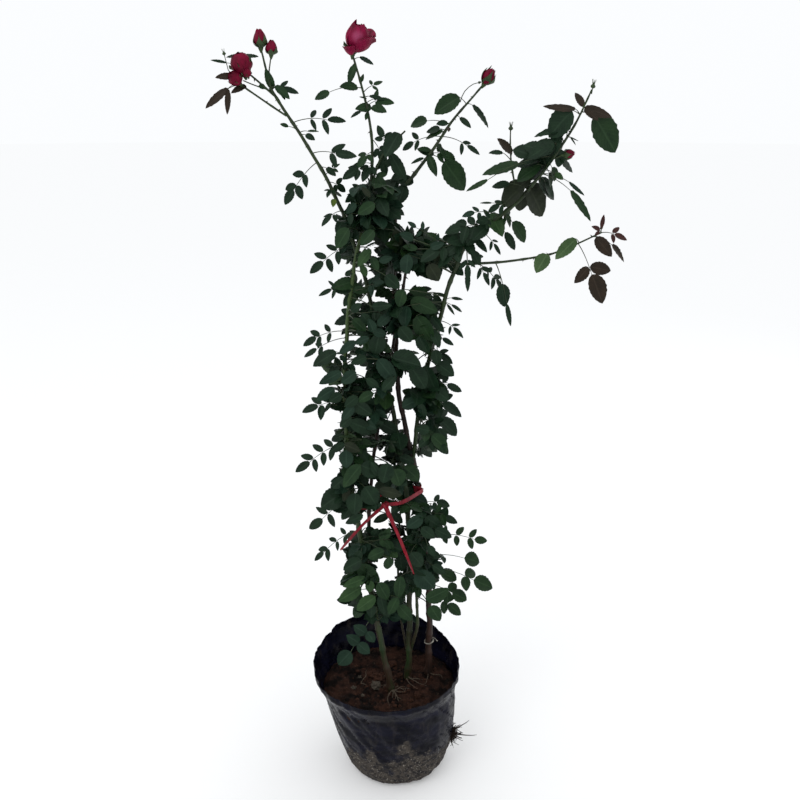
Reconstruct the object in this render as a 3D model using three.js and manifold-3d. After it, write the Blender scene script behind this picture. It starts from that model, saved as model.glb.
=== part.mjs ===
// A climbing rose bush in its black nursery bag, about 1.5 m tall.
// Millimetres, +Z up, +Y to the back. The origin is the middle of the bag's flat underside.
import * as THREE from "three";
import { mergeVertices } from "three/addons/utils/BufferGeometryUtils.js";
import Module from "manifold-3d";

const wasm = await Module();
wasm.setup();

// ---- Driving dimensions -------------------------------------------------------------------------
const GAP = 0.35; // running gap between neighbouring solids
const SOIL_TOP = 190; // ground level of the canes, above the bag's underside
const CANE_STEP = 75; // length of one straight stretch of a cane
const FLARE_HEIGHT = 16; // height over which a cane's root flare dies away
const LARGE_MASS = 57; // half size past which a mass of leaves gets the finer ball
const LOBE_DEPTH = 0.13; // how far a mass's surface swells and dips, as a share of its radius

const BAG = {
  skin: 1.8, // wall of the bag
  heights: [0, 7, 24, 105, SOIL_TOP, 234], // levels where the wall changes slope
  radii: [90, 99, 105, 121, 136, 155], // outer radius at each level
  lean: -22, // sideways shift of the mouth against the base
  around: 24, // flats round the bag
};
// Height of the bag's edge round the mouth: high at the back, low in front.
const bagEdge = (a) => 234.5 - 3.5 * Math.cos(a) + 19.5 * Math.sin(a) - 6 * Math.cos(2 * a);

// ---- Solids -------------------------------------------------------------------------------------
function solidOf(geometry) {
  geometry.deleteAttribute("normal");
  geometry.deleteAttribute("uv");
  const merged = mergeVertices(geometry, 1e-3);
  return new wasm.Manifold(
    new wasm.Mesh({
      numProp: 3,
      vertProperties: new Float32Array(merged.attributes.position.array),
      triVerts: new Uint32Array(merged.index.array),
    }),
  );
}

function geometryOf(solid) {
  const mesh = solid.getMesh();
  const points = new Float32Array(mesh.numVert * 3);
  for (let i = 0; i < mesh.numVert; i++) {
    const at = i * mesh.numProp;
    points.set(mesh.vertProperties.subarray(at, at + 3), i * 3);
  }
  const geometry = new THREE.BufferGeometry();
  geometry.setAttribute("position", new THREE.BufferAttribute(points, 3));
  geometry.setIndex(new THREE.BufferAttribute(new Uint32Array(mesh.triVerts), 1));
  geometry.computeVertexNormals();
  return geometry;
}

// What is left of a solid once its neighbours are cut away: its largest body.
function cutRound(solid, neighbours) {
  let rest = solid;
  for (const neighbour of neighbours) rest = rest.subtract(neighbour);
  return rest.decompose().reduce((a, b) => (a.volume() > b.volume() ? a : b));
}

const bush = new THREE.Group();

function add(name, solid, material) {
  const mesh = new THREE.Mesh(geometryOf(solid), material);
  mesh.name = name;
  bush.add(mesh);
}

// ---- Materials ----------------------------------------------------------------------------------
const finish = (color, roughness) => new THREE.MeshStandardMaterial({ color, roughness, metalness: 0 });
const film = finish(0x1b1e2b, 0.45);
const earth = finish(0x33231b, 0.95);
const greenBark = finish(0x35502c, 0.6);
const brownBark = finish(0x46301f, 0.75);
const foliage = finish(0x1f3d27, 0.7);
const bronzeFoliage = finish(0x3a2a24, 0.7);
const petal = finish(0x8c1238, 0.6);
const tape = finish(0xa0182c, 0.35);

// ---- Bag and root ball --------------------------------------------------------------------------
// Turns a profile round the Z axis, then leans it and lifts its edge as the bag's mouth does.
function bagged(profile) {
  const points = profile.map(([r, z]) => new THREE.Vector2(r, z));
  const geometry = new THREE.LatheGeometry(points, BAG.around);
  geometry.rotateX(Math.PI / 2);
  const at = geometry.attributes.position;
  const flatEdge = BAG.heights.at(-1);
  for (let i = 0; i < at.count; i++) {
    const a = Math.atan2(at.getY(i), at.getX(i));
    const z = at.getZ(i);
    at.setX(i, at.getX(i) + (BAG.lean * z) / flatEdge);
    const lift = (bagEdge(a) - SOIL_TOP) / (flatEdge - SOIL_TOP);
    if (z > SOIL_TOP) at.setZ(i, SOIL_TOP + (z - SOIL_TOP) * lift);
  }
  return solidOf(geometry);
}

// Outer radius of the bag's wall at a level.
function wallRadius(z) {
  const top = BAG.heights.findIndex((h, i) => i > 0 && z <= h);
  const share = (z - BAG.heights[top - 1]) / (BAG.heights[top] - BAG.heights[top - 1]);
  return THREE.MathUtils.lerp(BAG.radii[top - 1], BAG.radii[top], share);
}

// The wall's line, set in from the outside of the bag all round and under its floor.
function wallLine(inset, heights) {
  const line = heights.map((z) => [wallRadius(z) - inset, z]);
  line[0][1] += inset;
  return [[0, line[0][1]], ...line];
}

add("bag", bagged([...wallLine(0, BAG.heights), ...wallLine(BAG.skin, BAG.heights).reverse()]), film);
add("soil", bagged([...wallLine(BAG.skin + GAP, BAG.heights.slice(0, -1)), [0, SOIL_TOP]]), earth);

// ---- Canes and boughs ---------------------------------------------------------------------------
// One tapering limb along a smooth route: a capped cylinder whose rings are laid along the curve.
// grow swells it, and lengthens it at both ends, to make the cutter for what lies against it.
function limb({ route, foot, tip, flare = 0 }, grow = 0, sides = foot > 4.5 ? 6 : 5) {
  const curve = new THREE.CatmullRomCurve3(
    route.map((p) => new THREE.Vector3(...p)),
    false,
    "centripetal",
  );
  const length = curve.getLength();
  const steps = Math.max(3, Math.round(length / CANE_STEP));
  const frames = curve.computeFrenetFrames(steps, false);
  const geometry = new THREE.CylinderGeometry(1, 1, 1, sides, steps);
  const at = geometry.attributes.position;
  const place = new THREE.Vector3();
  for (let i = 0; i < at.count; i++) {
    const share = at.getY(i) + 0.5;
    const ring = Math.round(share * steps);
    const taper = THREE.MathUtils.lerp(foot, tip, share) + flare * Math.exp((-share * length) / FLARE_HEIGHT);
    const radius = taper + grow;
    curve.getPointAt(share, place);
    const end = ring === 0 ? -grow : ring === steps ? grow : 0;
    place.addScaledVector(frames.tangents[ring], end);
    place.addScaledVector(frames.normals[ring], radius * at.getX(i));
    place.addScaledVector(frames.binormals[ring], -radius * at.getZ(i));
    at.setXYZ(i, place.x, place.y, place.z);
  }
  return solidOf(geometry);
}

// Each limb: its route from foot to tip, its radius at both, and the limb it grows from.
const LIMBS = {
  cane_left: {
    route: [[-8, -37, SOIL_TOP - 12], [-41, -34, 363], [-66, -30, 516], [-86, -28, 645], [-97, -25, 790],
      [-94, -20, 925], [-78, -12, 1070], [-45, 4, 1218]],
    foot: 6.8, tip: 3.4, flare: 4, bark: greenBark, rooted: true,
  },
  stem_top: {
    route: [[-45, 4, 1218], [-40, 8, 1304], [-52, 10, 1370], [-69, 10, 1416], [-74, 10, 1443]],
    foot: 3, tip: 1.7, bark: greenBark, from: ["cane_left"],
  },
  shoot_centre: {
    route: [[-44, 4, 1226], [-27, 0, 1274], [-10, -14, 1298], [15, -25, 1317]],
    foot: 2.4, tip: 1.5, bark: greenBark, from: ["cane_left", "stem_top"],
  },
  cane_old: {
    route: [[-16, -37, 218], [-34, -24, 300], [-54, -10, 449], [-55, 4, 587], [-40, 8, 734], [-15, 12, 875],
      [26, 20, 1105]],
    foot: 5, tip: 2.8, bark: brownBark, from: ["cane_left"],
  },
  cane_middle: {
    route: [[25, 8, SOIL_TOP - 12], [28, 8, 404], [24, 13, 584], [4, 24, 731], [-23, 36, 874], [-52, 28, 1031],
      [-97, 14, 1178]],
    foot: 6.6, tip: 3.5, flare: 3, bark: greenBark, rooted: true,
  },
  bough_left: {
    route: [[-97, 14, 1178], [-125, 4, 1241], [-157, -8, 1299], [-190, -20, 1348], [-213, -30, 1388]],
    foot: 3.5, tip: 2.4, bark: greenBark, from: ["cane_middle"],
  },
  stalk_bud_left: {
    route: [[-211, -30, 1386], [-219, -31, 1420], [-227, -31, 1456]],
    foot: 1.8, tip: 1.5, bark: greenBark, from: ["bough_left"],
  },
  stalk_bloom_left: {
    route: [[-206, -28, 1376], [-228, -36, 1396], [-250, -41, 1414]],
    foot: 1.9, tip: 1.5, bark: greenBark, from: ["bough_left", "stalk_bud_left"],
  },
  stalk_side_left: {
    route: [[-189, -21, 1344], [-227, -33, 1369], [-247, -38, 1384], [-266, -43, 1397]],
    foot: 1.8, tip: 1.4, bark: greenBark, from: ["bough_left"],
  },
  shoot_middle_right: {
    route: [[27, 8, 250], [41, 3, 296], [47, -2, 335], [42, -6, 390], [38, -8, 480], [56, -12, 571]],
    foot: 3.8, tip: 2, bark: greenBark, from: ["cane_middle"],
  },
  shoot_middle_left: {
    route: [[27, 8, 240], [14, 18, 290], [6, 28, 373], [4, 34, 510], [12, 38, 598], [8, 42, 703]],
    foot: 2.8, tip: 1.8, bark: greenBark, from: ["cane_middle"],
  },
  cane_brown: {
    route: [[68, 24, SOIL_TOP - 12], [70, 27, 340], [61, 30, 498], [49, 32, 597], [30, 33, 705], [6, 34, 810],
      [0, 36, 932], [-4, 38, 1046], [-1, 42, 1199]],
    foot: 7.2, tip: 3.9, flare: 2, bark: brownBark, rooted: true,
  },
  bough_bud: {
    route: [[-1, 42, 1199], [29, 45, 1235], [80, 50, 1296], [118, 54, 1360], [160, 56, 1399]],
    foot: 3.8, tip: 1.6, bark: greenBark, from: ["cane_brown"],
  },
  cane_side: {
    route: [[33, 32, 688], [41, 20, 760], [50, 6, 839], [68, -12, 933], [86, -32, 1008], [101, -52, 1074],
      [123, -70, 1132]],
    foot: 4.6, tip: 4, bark: greenBark, from: ["cane_brown"],
  },
  bough_right: {
    route: [[123, -70, 1132], [174, -100, 1177], [226, -140, 1233], [260, -180, 1300], [286, -200, 1339],
      [298, -210, 1382]],
    foot: 4.4, tip: 1.2, bark: greenBark, from: ["cane_side"],
  },
  shoot_right_inner: {
    route: [[206, -124, 1210], [196, -120, 1243], [189, -116, 1274], [189, -112, 1322]],
    foot: 1.8, tip: 1, bark: greenBark, from: ["bough_right"],
  },
  bough_low_right: {
    route: [[108, -58, 1092], [140, -58, 1100], [170, -60, 1096], [236, -70, 1103], [287, -84, 1117],
      [316, -92, 1128], [350, -104, 1154]],
    foot: 2.6, tip: 1.3, bark: greenBark, from: ["cane_side"],
  },
};

// The canes that rise from the soil end in a flat cut just above it.
const ground = solidOf(new THREE.BoxGeometry(600, 600, 100).translate(0, 0, SOIL_TOP + GAP - 50));
for (const [name, plan] of Object.entries(LIMBS)) {
  const carriers = (plan.from ?? []).map((carrier) => limb(LIMBS[carrier], GAP));
  if (plan.rooted) carriers.push(ground);
  add(name, cutRound(limb(plan), carriers), plan.bark);
}
// What lies against a limb is cut by the limb itself, grown by the gap.
const limbCutters = Object.values(LIMBS).map((plan) => limb(plan, GAP));
// A square sleeve round each limb, whose four flats just clear it, cuts what the limb passes through.
const sleeves = Object.values(LIMBS).map((plan) =>
  limb({ ...plan, foot: plan.foot * Math.SQRT2, tip: plan.tip * Math.SQRT2 }, GAP * Math.SQRT2, 4),
);

// ---- Red tie ------------------------------------------------------------------------------------
// A plastic tape round the canes, knotted in front, with two stiff tails that hang apart.
// rise is how much higher the loop lies for each millimetre towards the brown cane.
const TIE = {
  level: 626,
  rise: 0.12,
  width: 9,
  thick: 2.2,
  knot: [-22, -58, 628],
  tailEnds: [[-107, -88, 546], [34, -96, 499]],
};
const TAIL = { foot: 4.2, tip: 3.2 };
const tieLoop = [[-89, -30], [-84, -18], [-30, 26], [12, 43], [46, 41], [54, 32], [44, 12], [12, -40], [-22, -58],
  [-60, -50], [-85, -36]];

function tieBand(grow) {
  const curve = new THREE.CatmullRomCurve3(
    tieLoop.map(([x, y]) => new THREE.Vector3(x, y, TIE.level + TIE.rise * x)),
    true,
    "centripetal",
  );
  const half = TIE.width / 2 + grow;
  const deep = TIE.thick / 2 + grow;
  const section = new THREE.Shape([
    new THREE.Vector2(-half, -deep),
    new THREE.Vector2(half, -deep),
    new THREE.Vector2(half, deep),
    new THREE.Vector2(-half, deep),
  ]);
  return solidOf(new THREE.ExtrudeGeometry(section, { steps: 24, extrudePath: curve }));
}

const tails = TIE.tailEnds.map((end) => {
  const halfway = end.map((v, axis) => (v + TIE.knot[axis]) / 2);
  return { route: [TIE.knot, halfway, end], ...TAIL };
});
const tieShape = (grow) => tails.reduce((tie, plan) => tie.add(limb(plan, grow)), tieBand(grow));
add("tie", cutRound(tieShape(0), limbCutters), tape);

// ---- Blooms and buds ----------------------------------------------------------------------------
// A cupped head on its calyx: a turned profile, tilted about its foot.
const HEAD_PROFILE = [[0.28, 0], [0.78, 0.2], [1, 0.5], [0.86, 0.8], [0.45, 1]]; // shares of radius and height
function head({ foot, radius, height, nod }, grow = 0) {
  const points = HEAD_PROFILE.map(
    ([r, z]) => new THREE.Vector2(r * radius + grow, z * height + grow * (2 * z - 1)),
  );
  points.unshift(new THREE.Vector2(0, points[0].y));
  points.push(new THREE.Vector2(0, points.at(-1).y));
  const geometry = new THREE.LatheGeometry(points, 8).rotateX(Math.PI / 2);
  geometry.applyMatrix4(new THREE.Matrix4().makeRotationFromEuler(new THREE.Euler(...nod)));
  return solidOf(geometry.translate(...foot));
}

const HEADS = {
  bloom_top: { foot: [-74, 10, 1441], radius: 25, height: 58, nod: [0.1, 0.32, 0] },
  bloom_left: { foot: [-248, -41, 1411], radius: 18.5, height: 35, nod: [0.2, -0.7, 0] },
  bud_left: { foot: [-226, -31, 1452], radius: 10.5, height: 33, nod: [0, -0.1, 0] },
  bud_centre: { foot: [158, 56, 1396], radius: 11, height: 34, nod: [0, 0.55, 0] },
};
const headCutters = [];
for (const [name, plan] of Object.entries(HEADS)) {
  add(name, cutRound(head(plan), [...limbCutters, ...headCutters]), petal);
  headCutters.push(head(plan, GAP));
}

// ---- Foliage ------------------------------------------------------------------------------------
// One mass of leaves: a ball pushed in and out by seeded waves, then fitted to its half sizes.
function mass({ at, half }, seed) {
  const large = Math.max(...half) > LARGE_MASS;
  const geometry = large ? new THREE.OctahedronGeometry(1, 3) : new THREE.IcosahedronGeometry(1, 1);
  const point = geometry.attributes.position;
  const way = new THREE.Vector3();
  const reach = [0, 0, 0];
  const wave = (v, turn) => Math.sin(3.1 * v + 1.7 * seed + turn);
  for (let i = 0; i < point.count; i++) {
    way.fromBufferAttribute(point, i);
    const lobes = wave(way.x + way.y, 0) + wave(way.y - way.z, 2) + 0.85 * wave(1.6 * way.z + way.x, 4);
    way.multiplyScalar(1 + LOBE_DEPTH * lobes);
    point.setXYZ(i, way.x, way.y, way.z);
    way.toArray().forEach((v, axis) => (reach[axis] = Math.max(reach[axis], Math.abs(v))));
  }
  geometry.scale(...half.map((h, axis) => h / reach[axis]));
  return solidOf(geometry.translate(...at));
}

// Two masses that meet are parted by a flat seam, square to the line between their middles.
function cutAtSeam(solid, plan, other) {
  const middle = new THREE.Vector3(...plan.at);
  const way = new THREE.Vector3(...other.at).sub(middle);
  const apart = way.length();
  way.normalize();
  const reach = ({ half }) => 1 / Math.hypot(way.x / half[0], way.y / half[1], way.z / half[2]);
  const level = middle.dot(way) + (apart * reach(plan)) / (reach(plan) + reach(other)) - GAP / 2;
  return solid.trimByPlane(way.negate().toArray(), -level);
}

const MASSES = {
  leaves_top: { at: [-36, 8, 1173], half: [67, 62, 61] },
  leaves_upper_left: { at: [-64, -14, 1086], half: [92, 74, 66] },
  leaves_upper_right: { at: [52, 4, 1110], half: [69, 66, 52] },
  leaves_shoulder_left: { at: [-66, 4, 985], half: [76, 72, 64] },
  leaves_shoulder_right: { at: [46, -4, 1002], half: [72, 74, 78] },
  leaves_middle_left: { at: [-83, -12, 900], half: [94, 74, 69] },
  leaves_middle_right: { at: [55, 4, 882], half: [72, 78, 73] },
  leaves_waist_left: { at: [-84, 4, 791], half: [96, 76, 64] },
  leaves_waist_right: { at: [74, 4, 771], half: [53, 60, 72] },
  leaves_tie_left: { at: [-80, 4, 691], half: [108, 78, 68] },
  leaves_tie_right: { at: [24, 8, 692], half: [56, 66, 50] },
  leaves_low_left: { at: [-90, -4, 557], half: [84, 70, 51] },
  leaves_low_right: { at: [74, 8, 539], half: [92, 72, 66] },
  leaves_foot_left: { at: [-37, -2, 437], half: [83, 72, 77] },
  leaves_foot_right: { at: [65, 6, 414], half: [84, 70, 72] },
  spray_left_low: { at: [-130, -18, 519], half: [39, 26, 36] },
  spray_right_low: { at: [160, -10, 467], half: [41, 34, 55] },
  spray_soil: { at: [-72, -58, 328], half: [46, 34, 40] },
  leaves_left_tip: { at: [-282, -45, 1374], half: [41, 26, 32], bronze: true },
  leaves_left_fork: { at: [-189, -24, 1379], half: [27, 24, 21] },
  leaves_left_high: { at: [-132, -12, 1344], half: [54, 24, 32] },
  leaves_left_middle: { at: [-102, 6, 1276], half: [43, 26, 27] },
  leaves_left_low: { at: [-162, -6, 1236], half: [44, 26, 48] },
  leaves_stem_high: { at: [-41, 10, 1374], half: [42, 34, 40] },
  leaves_centre: { at: [-1, -16, 1290], half: [37, 40, 54] },
  leaves_bud_top: { at: [116, 54, 1334], half: [56, 36, 48] },
  leaves_bud_low: { at: [81, 44, 1248], half: [53, 36, 44] },
  leaves_right_tip: { at: [311, -204, 1320], half: [36, 30, 32], bronze: true },
  leaves_right_high: { at: [246, -176, 1332], half: [34, 32, 31], bronze: true },
  leaves_right_middle: { at: [212, -128, 1246], half: [62, 48, 58] },
  leaves_right_outer: { at: [286, -150, 1229], half: [36, 34, 42] },
  leaves_right_low: { at: [158, -66, 1142], half: [73, 50, 45] },
  leaves_low_tip: { at: [366, -108, 1159], half: [32, 28, 36], bronze: true },
  leaves_low_drop: { at: [342, -96, 1070], half: [45, 30, 42], bronze: true },
  leaves_low_middle: { at: [279, -84, 1108], half: [49, 26, 24] },
  leaves_low_inner: { at: [196, -63, 1042], half: [21, 22, 60] },
};
const cutters = [...sleeves, tieShape(GAP), ...headCutters];
const masses = Object.entries(MASSES).map(([name, plan], order) => ({
  name,
  plan,
  solid: mass(plan, order + 1),
}));
for (const { name, plan, solid } of masses) {
  const meets = masses.filter((other) => other.plan !== plan && solid.intersect(other.solid).volume() > 0);
  const parted = meets.reduce((rest, other) => cutAtSeam(rest, plan, other.plan), solid);
  add(name, cutRound(parted, cutters), plan.bronze ? bronzeFoliage : foliage);
}

export default bush;
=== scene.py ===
import math
import random

import bpy
import numpy as np
from mathutils import Matrix, Vector, noise
from mathutils.bvhtree import BVHTree


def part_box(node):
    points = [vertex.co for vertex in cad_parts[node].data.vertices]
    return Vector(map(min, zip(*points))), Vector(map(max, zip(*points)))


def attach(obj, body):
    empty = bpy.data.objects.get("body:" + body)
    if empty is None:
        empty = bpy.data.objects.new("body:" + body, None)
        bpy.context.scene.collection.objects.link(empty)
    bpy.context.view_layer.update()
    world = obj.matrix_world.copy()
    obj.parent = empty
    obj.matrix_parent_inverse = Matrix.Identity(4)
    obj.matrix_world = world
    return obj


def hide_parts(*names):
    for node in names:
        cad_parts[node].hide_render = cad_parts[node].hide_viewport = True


# A rose bush in a black nursery bag: canes tied together with red tape carry a narrow column
# of leaves, which opens into boughs with dark crimson blooms and buds.

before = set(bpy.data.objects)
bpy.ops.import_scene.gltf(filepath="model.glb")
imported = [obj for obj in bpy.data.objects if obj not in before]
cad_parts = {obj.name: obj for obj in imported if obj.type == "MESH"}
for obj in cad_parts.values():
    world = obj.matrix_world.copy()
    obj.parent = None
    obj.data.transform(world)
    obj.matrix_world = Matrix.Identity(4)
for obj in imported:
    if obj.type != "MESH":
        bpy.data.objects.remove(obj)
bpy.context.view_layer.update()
MM = 0.001
UP = Vector((0, 0, 1))
OWN_BODY = "root"


# --- Studio -------------------------------------------------------------------------------
# The camera stands 1.65 m in front of the bush at the height of its upper leaves and looks
# down on it. Floor and room are a pale, even grey-white under one soft lamp and a weak one.

CAMERA_PLACE = (0.0077, -1.65, 1.354)
CAMERA_DIP = 17.9
SENSOR_WIDTH, FOCAL_LENGTH = 36, 40.5  # mm
FLOOR_RADIUS = 40.0
FLOOR_DROP = 0.0003
FLOOR_PAINT = {
    "Base Color": (0.86, 0.86, 0.86, 1), "Roughness": 0.9, "Specular IOR Level": 0.0,
    "Emission Color": (1, 1, 1, 1), "Emission Strength": 0.12,
}
ROOM_LIGHT = {"Color": (0.97, 0.985, 1.0, 1), "Strength": 1.0}
LAMPS = (  # name, place, size in metres and power in watts
    ("key lamp", (-1.6, -2.2, 3.6), 2.0, 28), ("fill lamp", (2.4, 1.8, 2.6), 2.4, 10),
)
LAMP_TARGET = Vector((0, 0, 0.7))

bpy.ops.object.select_all(action="DESELECT")
bpy.ops.object.camera_add(
    location=CAMERA_PLACE, rotation=(math.radians(90 - CAMERA_DIP), 0, 0)
)
camera = bpy.context.object
camera.name = "camera"
camera.data.sensor_width = SENSOR_WIDTH
camera.data.lens = FOCAL_LENGTH
bpy.context.scene.camera = camera
bpy.context.scene.view_settings.view_transform = "Standard"


def set_inputs(node, values):
    """Gives a node's inputs their plain values, by name."""
    for socket, value in values.items():
        node.inputs[socket].default_value = value


bpy.ops.mesh.primitive_circle_add(
    vertices=128, radius=FLOOR_RADIUS, fill_type="NGON", location=(0, 0, -FLOOR_DROP)
)
floor = bpy.context.object
floor.name = "floor"
floor_paint = bpy.data.materials.new("pale floor")
floor_paint.use_nodes = True
set_inputs(floor_paint.node_tree.nodes["Principled BSDF"], FLOOR_PAINT)
floor.data.materials.append(floor_paint)

room = bpy.data.worlds.new("room")
room.use_nodes = True
set_inputs(room.node_tree.nodes["Background"], ROOM_LIGHT)
bpy.context.scene.world = room

for name, place, size, power in LAMPS:
    bpy.ops.object.light_add(type="AREA", location=place)
    lamp = bpy.context.object
    lamp.name = name
    lamp.data.size = size
    lamp.data.energy = power
    aim = LAMP_TARGET - Vector(place)
    lamp.rotation_euler = aim.to_track_quat("-Z", "Y").to_euler()


# --- Nursery bag --------------------------------------------------------------------------
# Thin black polythene, filled with soil to a hand's breadth below the mouth. Its wall is
# drawn up from the round bottom level by level; mud from the beds dries on its lower third.

BAG_SIDES = 168
BAG_LEVELS = 66
FILM = 1.3 * MM
FOLD_DEPTH = 3.4 * MM
SPREAD, RIM_LIFT = 7.5 * MM, 6 * MM
MOUTH_RIPPLE = 2.6 * MM
BULGE, BULGE_ANGLE = 9 * MM, math.radians(-25)
LUMP_WAVES, CREASE_WAVES, FINE_WAVES = (2.2, 13), (5, 7), (11, 34)  # round the bag, up a metre
MOUTH_WAVES = (6, 0)
CREASE_SLANT = 5.5  # radians a metre
FULL_TO, SLACK_FROM = 0.8, 0.72  # shares of the bag's height
FOOT_ROUNDING = 9 * MM


def new_finish(name, roughness, specular=0.3):
    """A node material, its nodes and its shader, with a plain roughness and specular level."""
    finish = bpy.data.materials.new(name)
    finish.use_nodes = True
    shader = finish.node_tree.nodes["Principled BSDF"]
    set_inputs(shader, {"Roughness": roughness, "Specular IOR Level": specular})
    return finish, finish.node_tree, shader


def new_mottle_group():
    """Uneven patches that follow the piece: a mask from 0 to 1, and a height for a bump."""
    group = bpy.data.node_groups.new("mottle", "ShaderNodeTree")
    for name, way, kind in (
        ("Size", "INPUT", "Float"), ("Stretch", "INPUT", "Vector"), ("Low", "INPUT", "Float"),
        ("High", "INPUT", "Float"), ("Mask", "OUTPUT", "Float"), ("Height", "OUTPUT", "Float"),
    ):
        group.interface.new_socket(name, in_out=way, socket_type="NodeSocket" + kind)
    enter = group.nodes.new("NodeGroupInput")
    leave = group.nodes.new("NodeGroupOutput")
    place = group.nodes.new("ShaderNodeTexCoord")
    stretched = group.nodes.new("ShaderNodeVectorMath")
    stretched.operation = "MULTIPLY"
    patches = group.nodes.new("ShaderNodeTexNoise")
    set_inputs(patches, {"Detail": 5, "Roughness": 0.62})
    spread = group.nodes.new("ShaderNodeMapRange")
    for source, target in (
        (place.outputs["Object"], stretched.inputs[0]),
        (enter.outputs["Stretch"], stretched.inputs[1]),
        (stretched.outputs[0], patches.inputs["Vector"]),
        (enter.outputs["Size"], patches.inputs["Scale"]),
        (patches.outputs["Fac"], spread.inputs["Value"]),
        (enter.outputs["Low"], spread.inputs["From Min"]),
        (enter.outputs["High"], spread.inputs["From Max"]),
        (spread.outputs["Result"], leave.inputs["Mask"]),
        (patches.outputs["Fac"], leave.inputs["Height"]),
    ):
        group.links.new(source, target)
    return group


MOTTLE = new_mottle_group()


def mottle(tree, per_metre, stretch=(1, 1, 1), low=0.4, high=0.6):
    """One mottle group in a material's tree; per_metre is how many patches a metre holds."""
    node = tree.nodes.new("ShaderNodeGroup")
    node.node_tree = MOTTLE
    set_inputs(node, {"Size": per_metre, "Stretch": stretch, "Low": low, "High": high})
    return node


def blend_colours(tree, mask, first, second):
    """A colour that goes from first to second by mask; either may be a colour or a socket."""
    mix = tree.nodes.new("ShaderNodeMix")
    mix.data_type = "RGBA"
    tree.links.new(mask, mix.inputs["Factor"])
    for socket, colour in ((mix.inputs[6], first), (mix.inputs[7], second)):
        if isinstance(colour, tuple):
            socket.default_value = (*colour, 1)
        else:
            tree.links.new(colour, socket)
    return mix.outputs[2]


def calculate(tree, operation, *operands):
    """The result of one sum; each operand is a number or a socket."""
    node = tree.nodes.new("ShaderNodeMath")
    node.operation = operation
    for socket, operand in zip(node.inputs, operands):
        if isinstance(operand, (int, float)):
            socket.default_value = operand
        else:
            tree.links.new(operand, socket)
    return node.outputs[0]


def rescale(tree, value, levels, interpolation="LINEAR"):
    """value taken from the range of levels' first two numbers to that of the last two."""
    node = tree.nodes.new("ShaderNodeMapRange")
    node.interpolation_type = interpolation
    set_inputs(node, dict(zip(("From Min", "From Max", "To Min", "To Max"), levels)))
    tree.links.new(value, node.inputs["Value"])
    return node.outputs["Result"]


def height_of(tree):
    """The height above the floor, which is each piece's own Z."""
    where = tree.nodes.new("ShaderNodeTexCoord")
    split = tree.nodes.new("ShaderNodeSeparateXYZ")
    tree.links.new(where.outputs["Object"], split.inputs[0])
    return split.outputs["Z"]


def add_bump(tree, shader, height, strength, distance):
    """A bump on the shader's normal from a height socket."""
    bump = tree.nodes.new("ShaderNodeBump")
    set_inputs(bump, {"Strength": strength, "Distance": distance})
    tree.links.new(height, bump.inputs["Height"])
    tree.links.new(bump.outputs["Normal"], shader.inputs["Normal"])


def patchy_finish(name, roughness, specular, first, second, patches, relief=0):
    """A finish of two colours in patches; patches holds mottle's values, and relief is the
    strength of the bump that goes with them."""
    finish, tree, shader = new_finish(name, roughness, specular)
    spots = mottle(tree, *patches)
    colour = blend_colours(tree, spots.outputs["Mask"], first, second)
    tree.links.new(colour, shader.inputs["Base Color"])
    if relief:
        add_bump(tree, shader, spots.outputs["Height"], relief, 1 * MM)
    return finish


def finish_piece(piece, name, finish, slot, *nodes):
    """Names a finished piece, gives it its material and its body, and hides its CAD nodes. slot
    is not used.
    """
    piece.name = name
    piece.data.name = name
    piece.data.materials.clear()
    piece.data.materials.append(finish)
    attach(piece, OWN_BODY)
    if nodes:
        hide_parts(*nodes)


def tree_of(node):
    """A search tree of a CAD node's own mesh."""
    return BVHTree.FromObject(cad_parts[node], bpy.context.evaluated_depsgraph_get())


bag_surface = tree_of("bag")
_, bag_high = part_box("bag")
MOUTH_FROM = 0.8  # of the bag's height; all points above it belong to the mouth
bag_points = [v.co.copy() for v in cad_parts["bag"].data.vertices]
mouth_ring = [p for p in bag_points if p.z > MOUTH_FROM * bag_high.z]


def middle_of(points):
    """The middle of the box round some points."""
    low = Vector(map(min, zip(*points)))
    high = Vector(map(max, zip(*points)))
    return (low + high) / 2


mouth_middle = middle_of(mouth_ring)


def level_way(angle):
    """The level direction that lies at an angle from X."""
    return Vector((math.cos(angle), math.sin(angle), 0))


def bag_axis(height):
    """The bag leans a little, so its middle moves with the height."""
    return mouth_middle * (height / mouth_middle.z)


def wall_radius(angle, height):
    """How far the CAD bag's wall stands from its axis, or None above the mouth."""
    outward = level_way(angle)
    middle = bag_axis(height)
    hit = bag_surface.ray_cast(middle + outward, -outward, 1.0)[0]
    return None if hit is None else (hit - middle).length


def mouth_height(angle):
    """The highest level at which the CAD bag still has a wall in this direction."""
    height = bag_high.z
    while wall_radius(angle, height) is None:
        height -= 0.5 * MM
    return height


def ripple(angle, height, around, up):
    """Noise that closes round the bag: how fast it changes around it and with the height."""
    x, y = around * math.cos(angle), around * math.sin(angle)
    return noise.noise(Vector((x, y, up * height)))


def film_fold(angle, height):
    """How far the film stands in or out: soft lumps, slanting creases, slack above the soil."""
    turned = angle + CREASE_SLANT * height
    lumps = ripple(angle, height, *LUMP_WAVES)
    ridge, fine_ridge = (
        (1 - min(1, 4 * abs(ripple(turned, height, *waves)))) ** 2
        for waves in (CREASE_WAVES, FINE_WAVES)
    )
    slack = max(0.0, height / bag_high.z - SLACK_FROM)
    fullness = math.sin(math.pi * min(1.0, height / (FULL_TO * bag_high.z)))
    # The soil's weight pushes the film out low down on the right.
    belly = BULGE * max(0.0, math.cos(angle - BULGE_ANGLE)) ** 2 * fullness**0.7
    flutter = math.sin(7 * angle + 1.3 * math.sin(2 * angle)) * slack * 5 * MM
    folds = FOLD_DEPTH * (0.9 * lumps - 0.85 * ridge - 0.45 * fine_ridge)
    spread = SPREAD * (0.45 + 0.55 * fullness)
    return (folds + belly + flutter + spread) * (1 - math.exp(-height / FOOT_ROUNDING))


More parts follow.
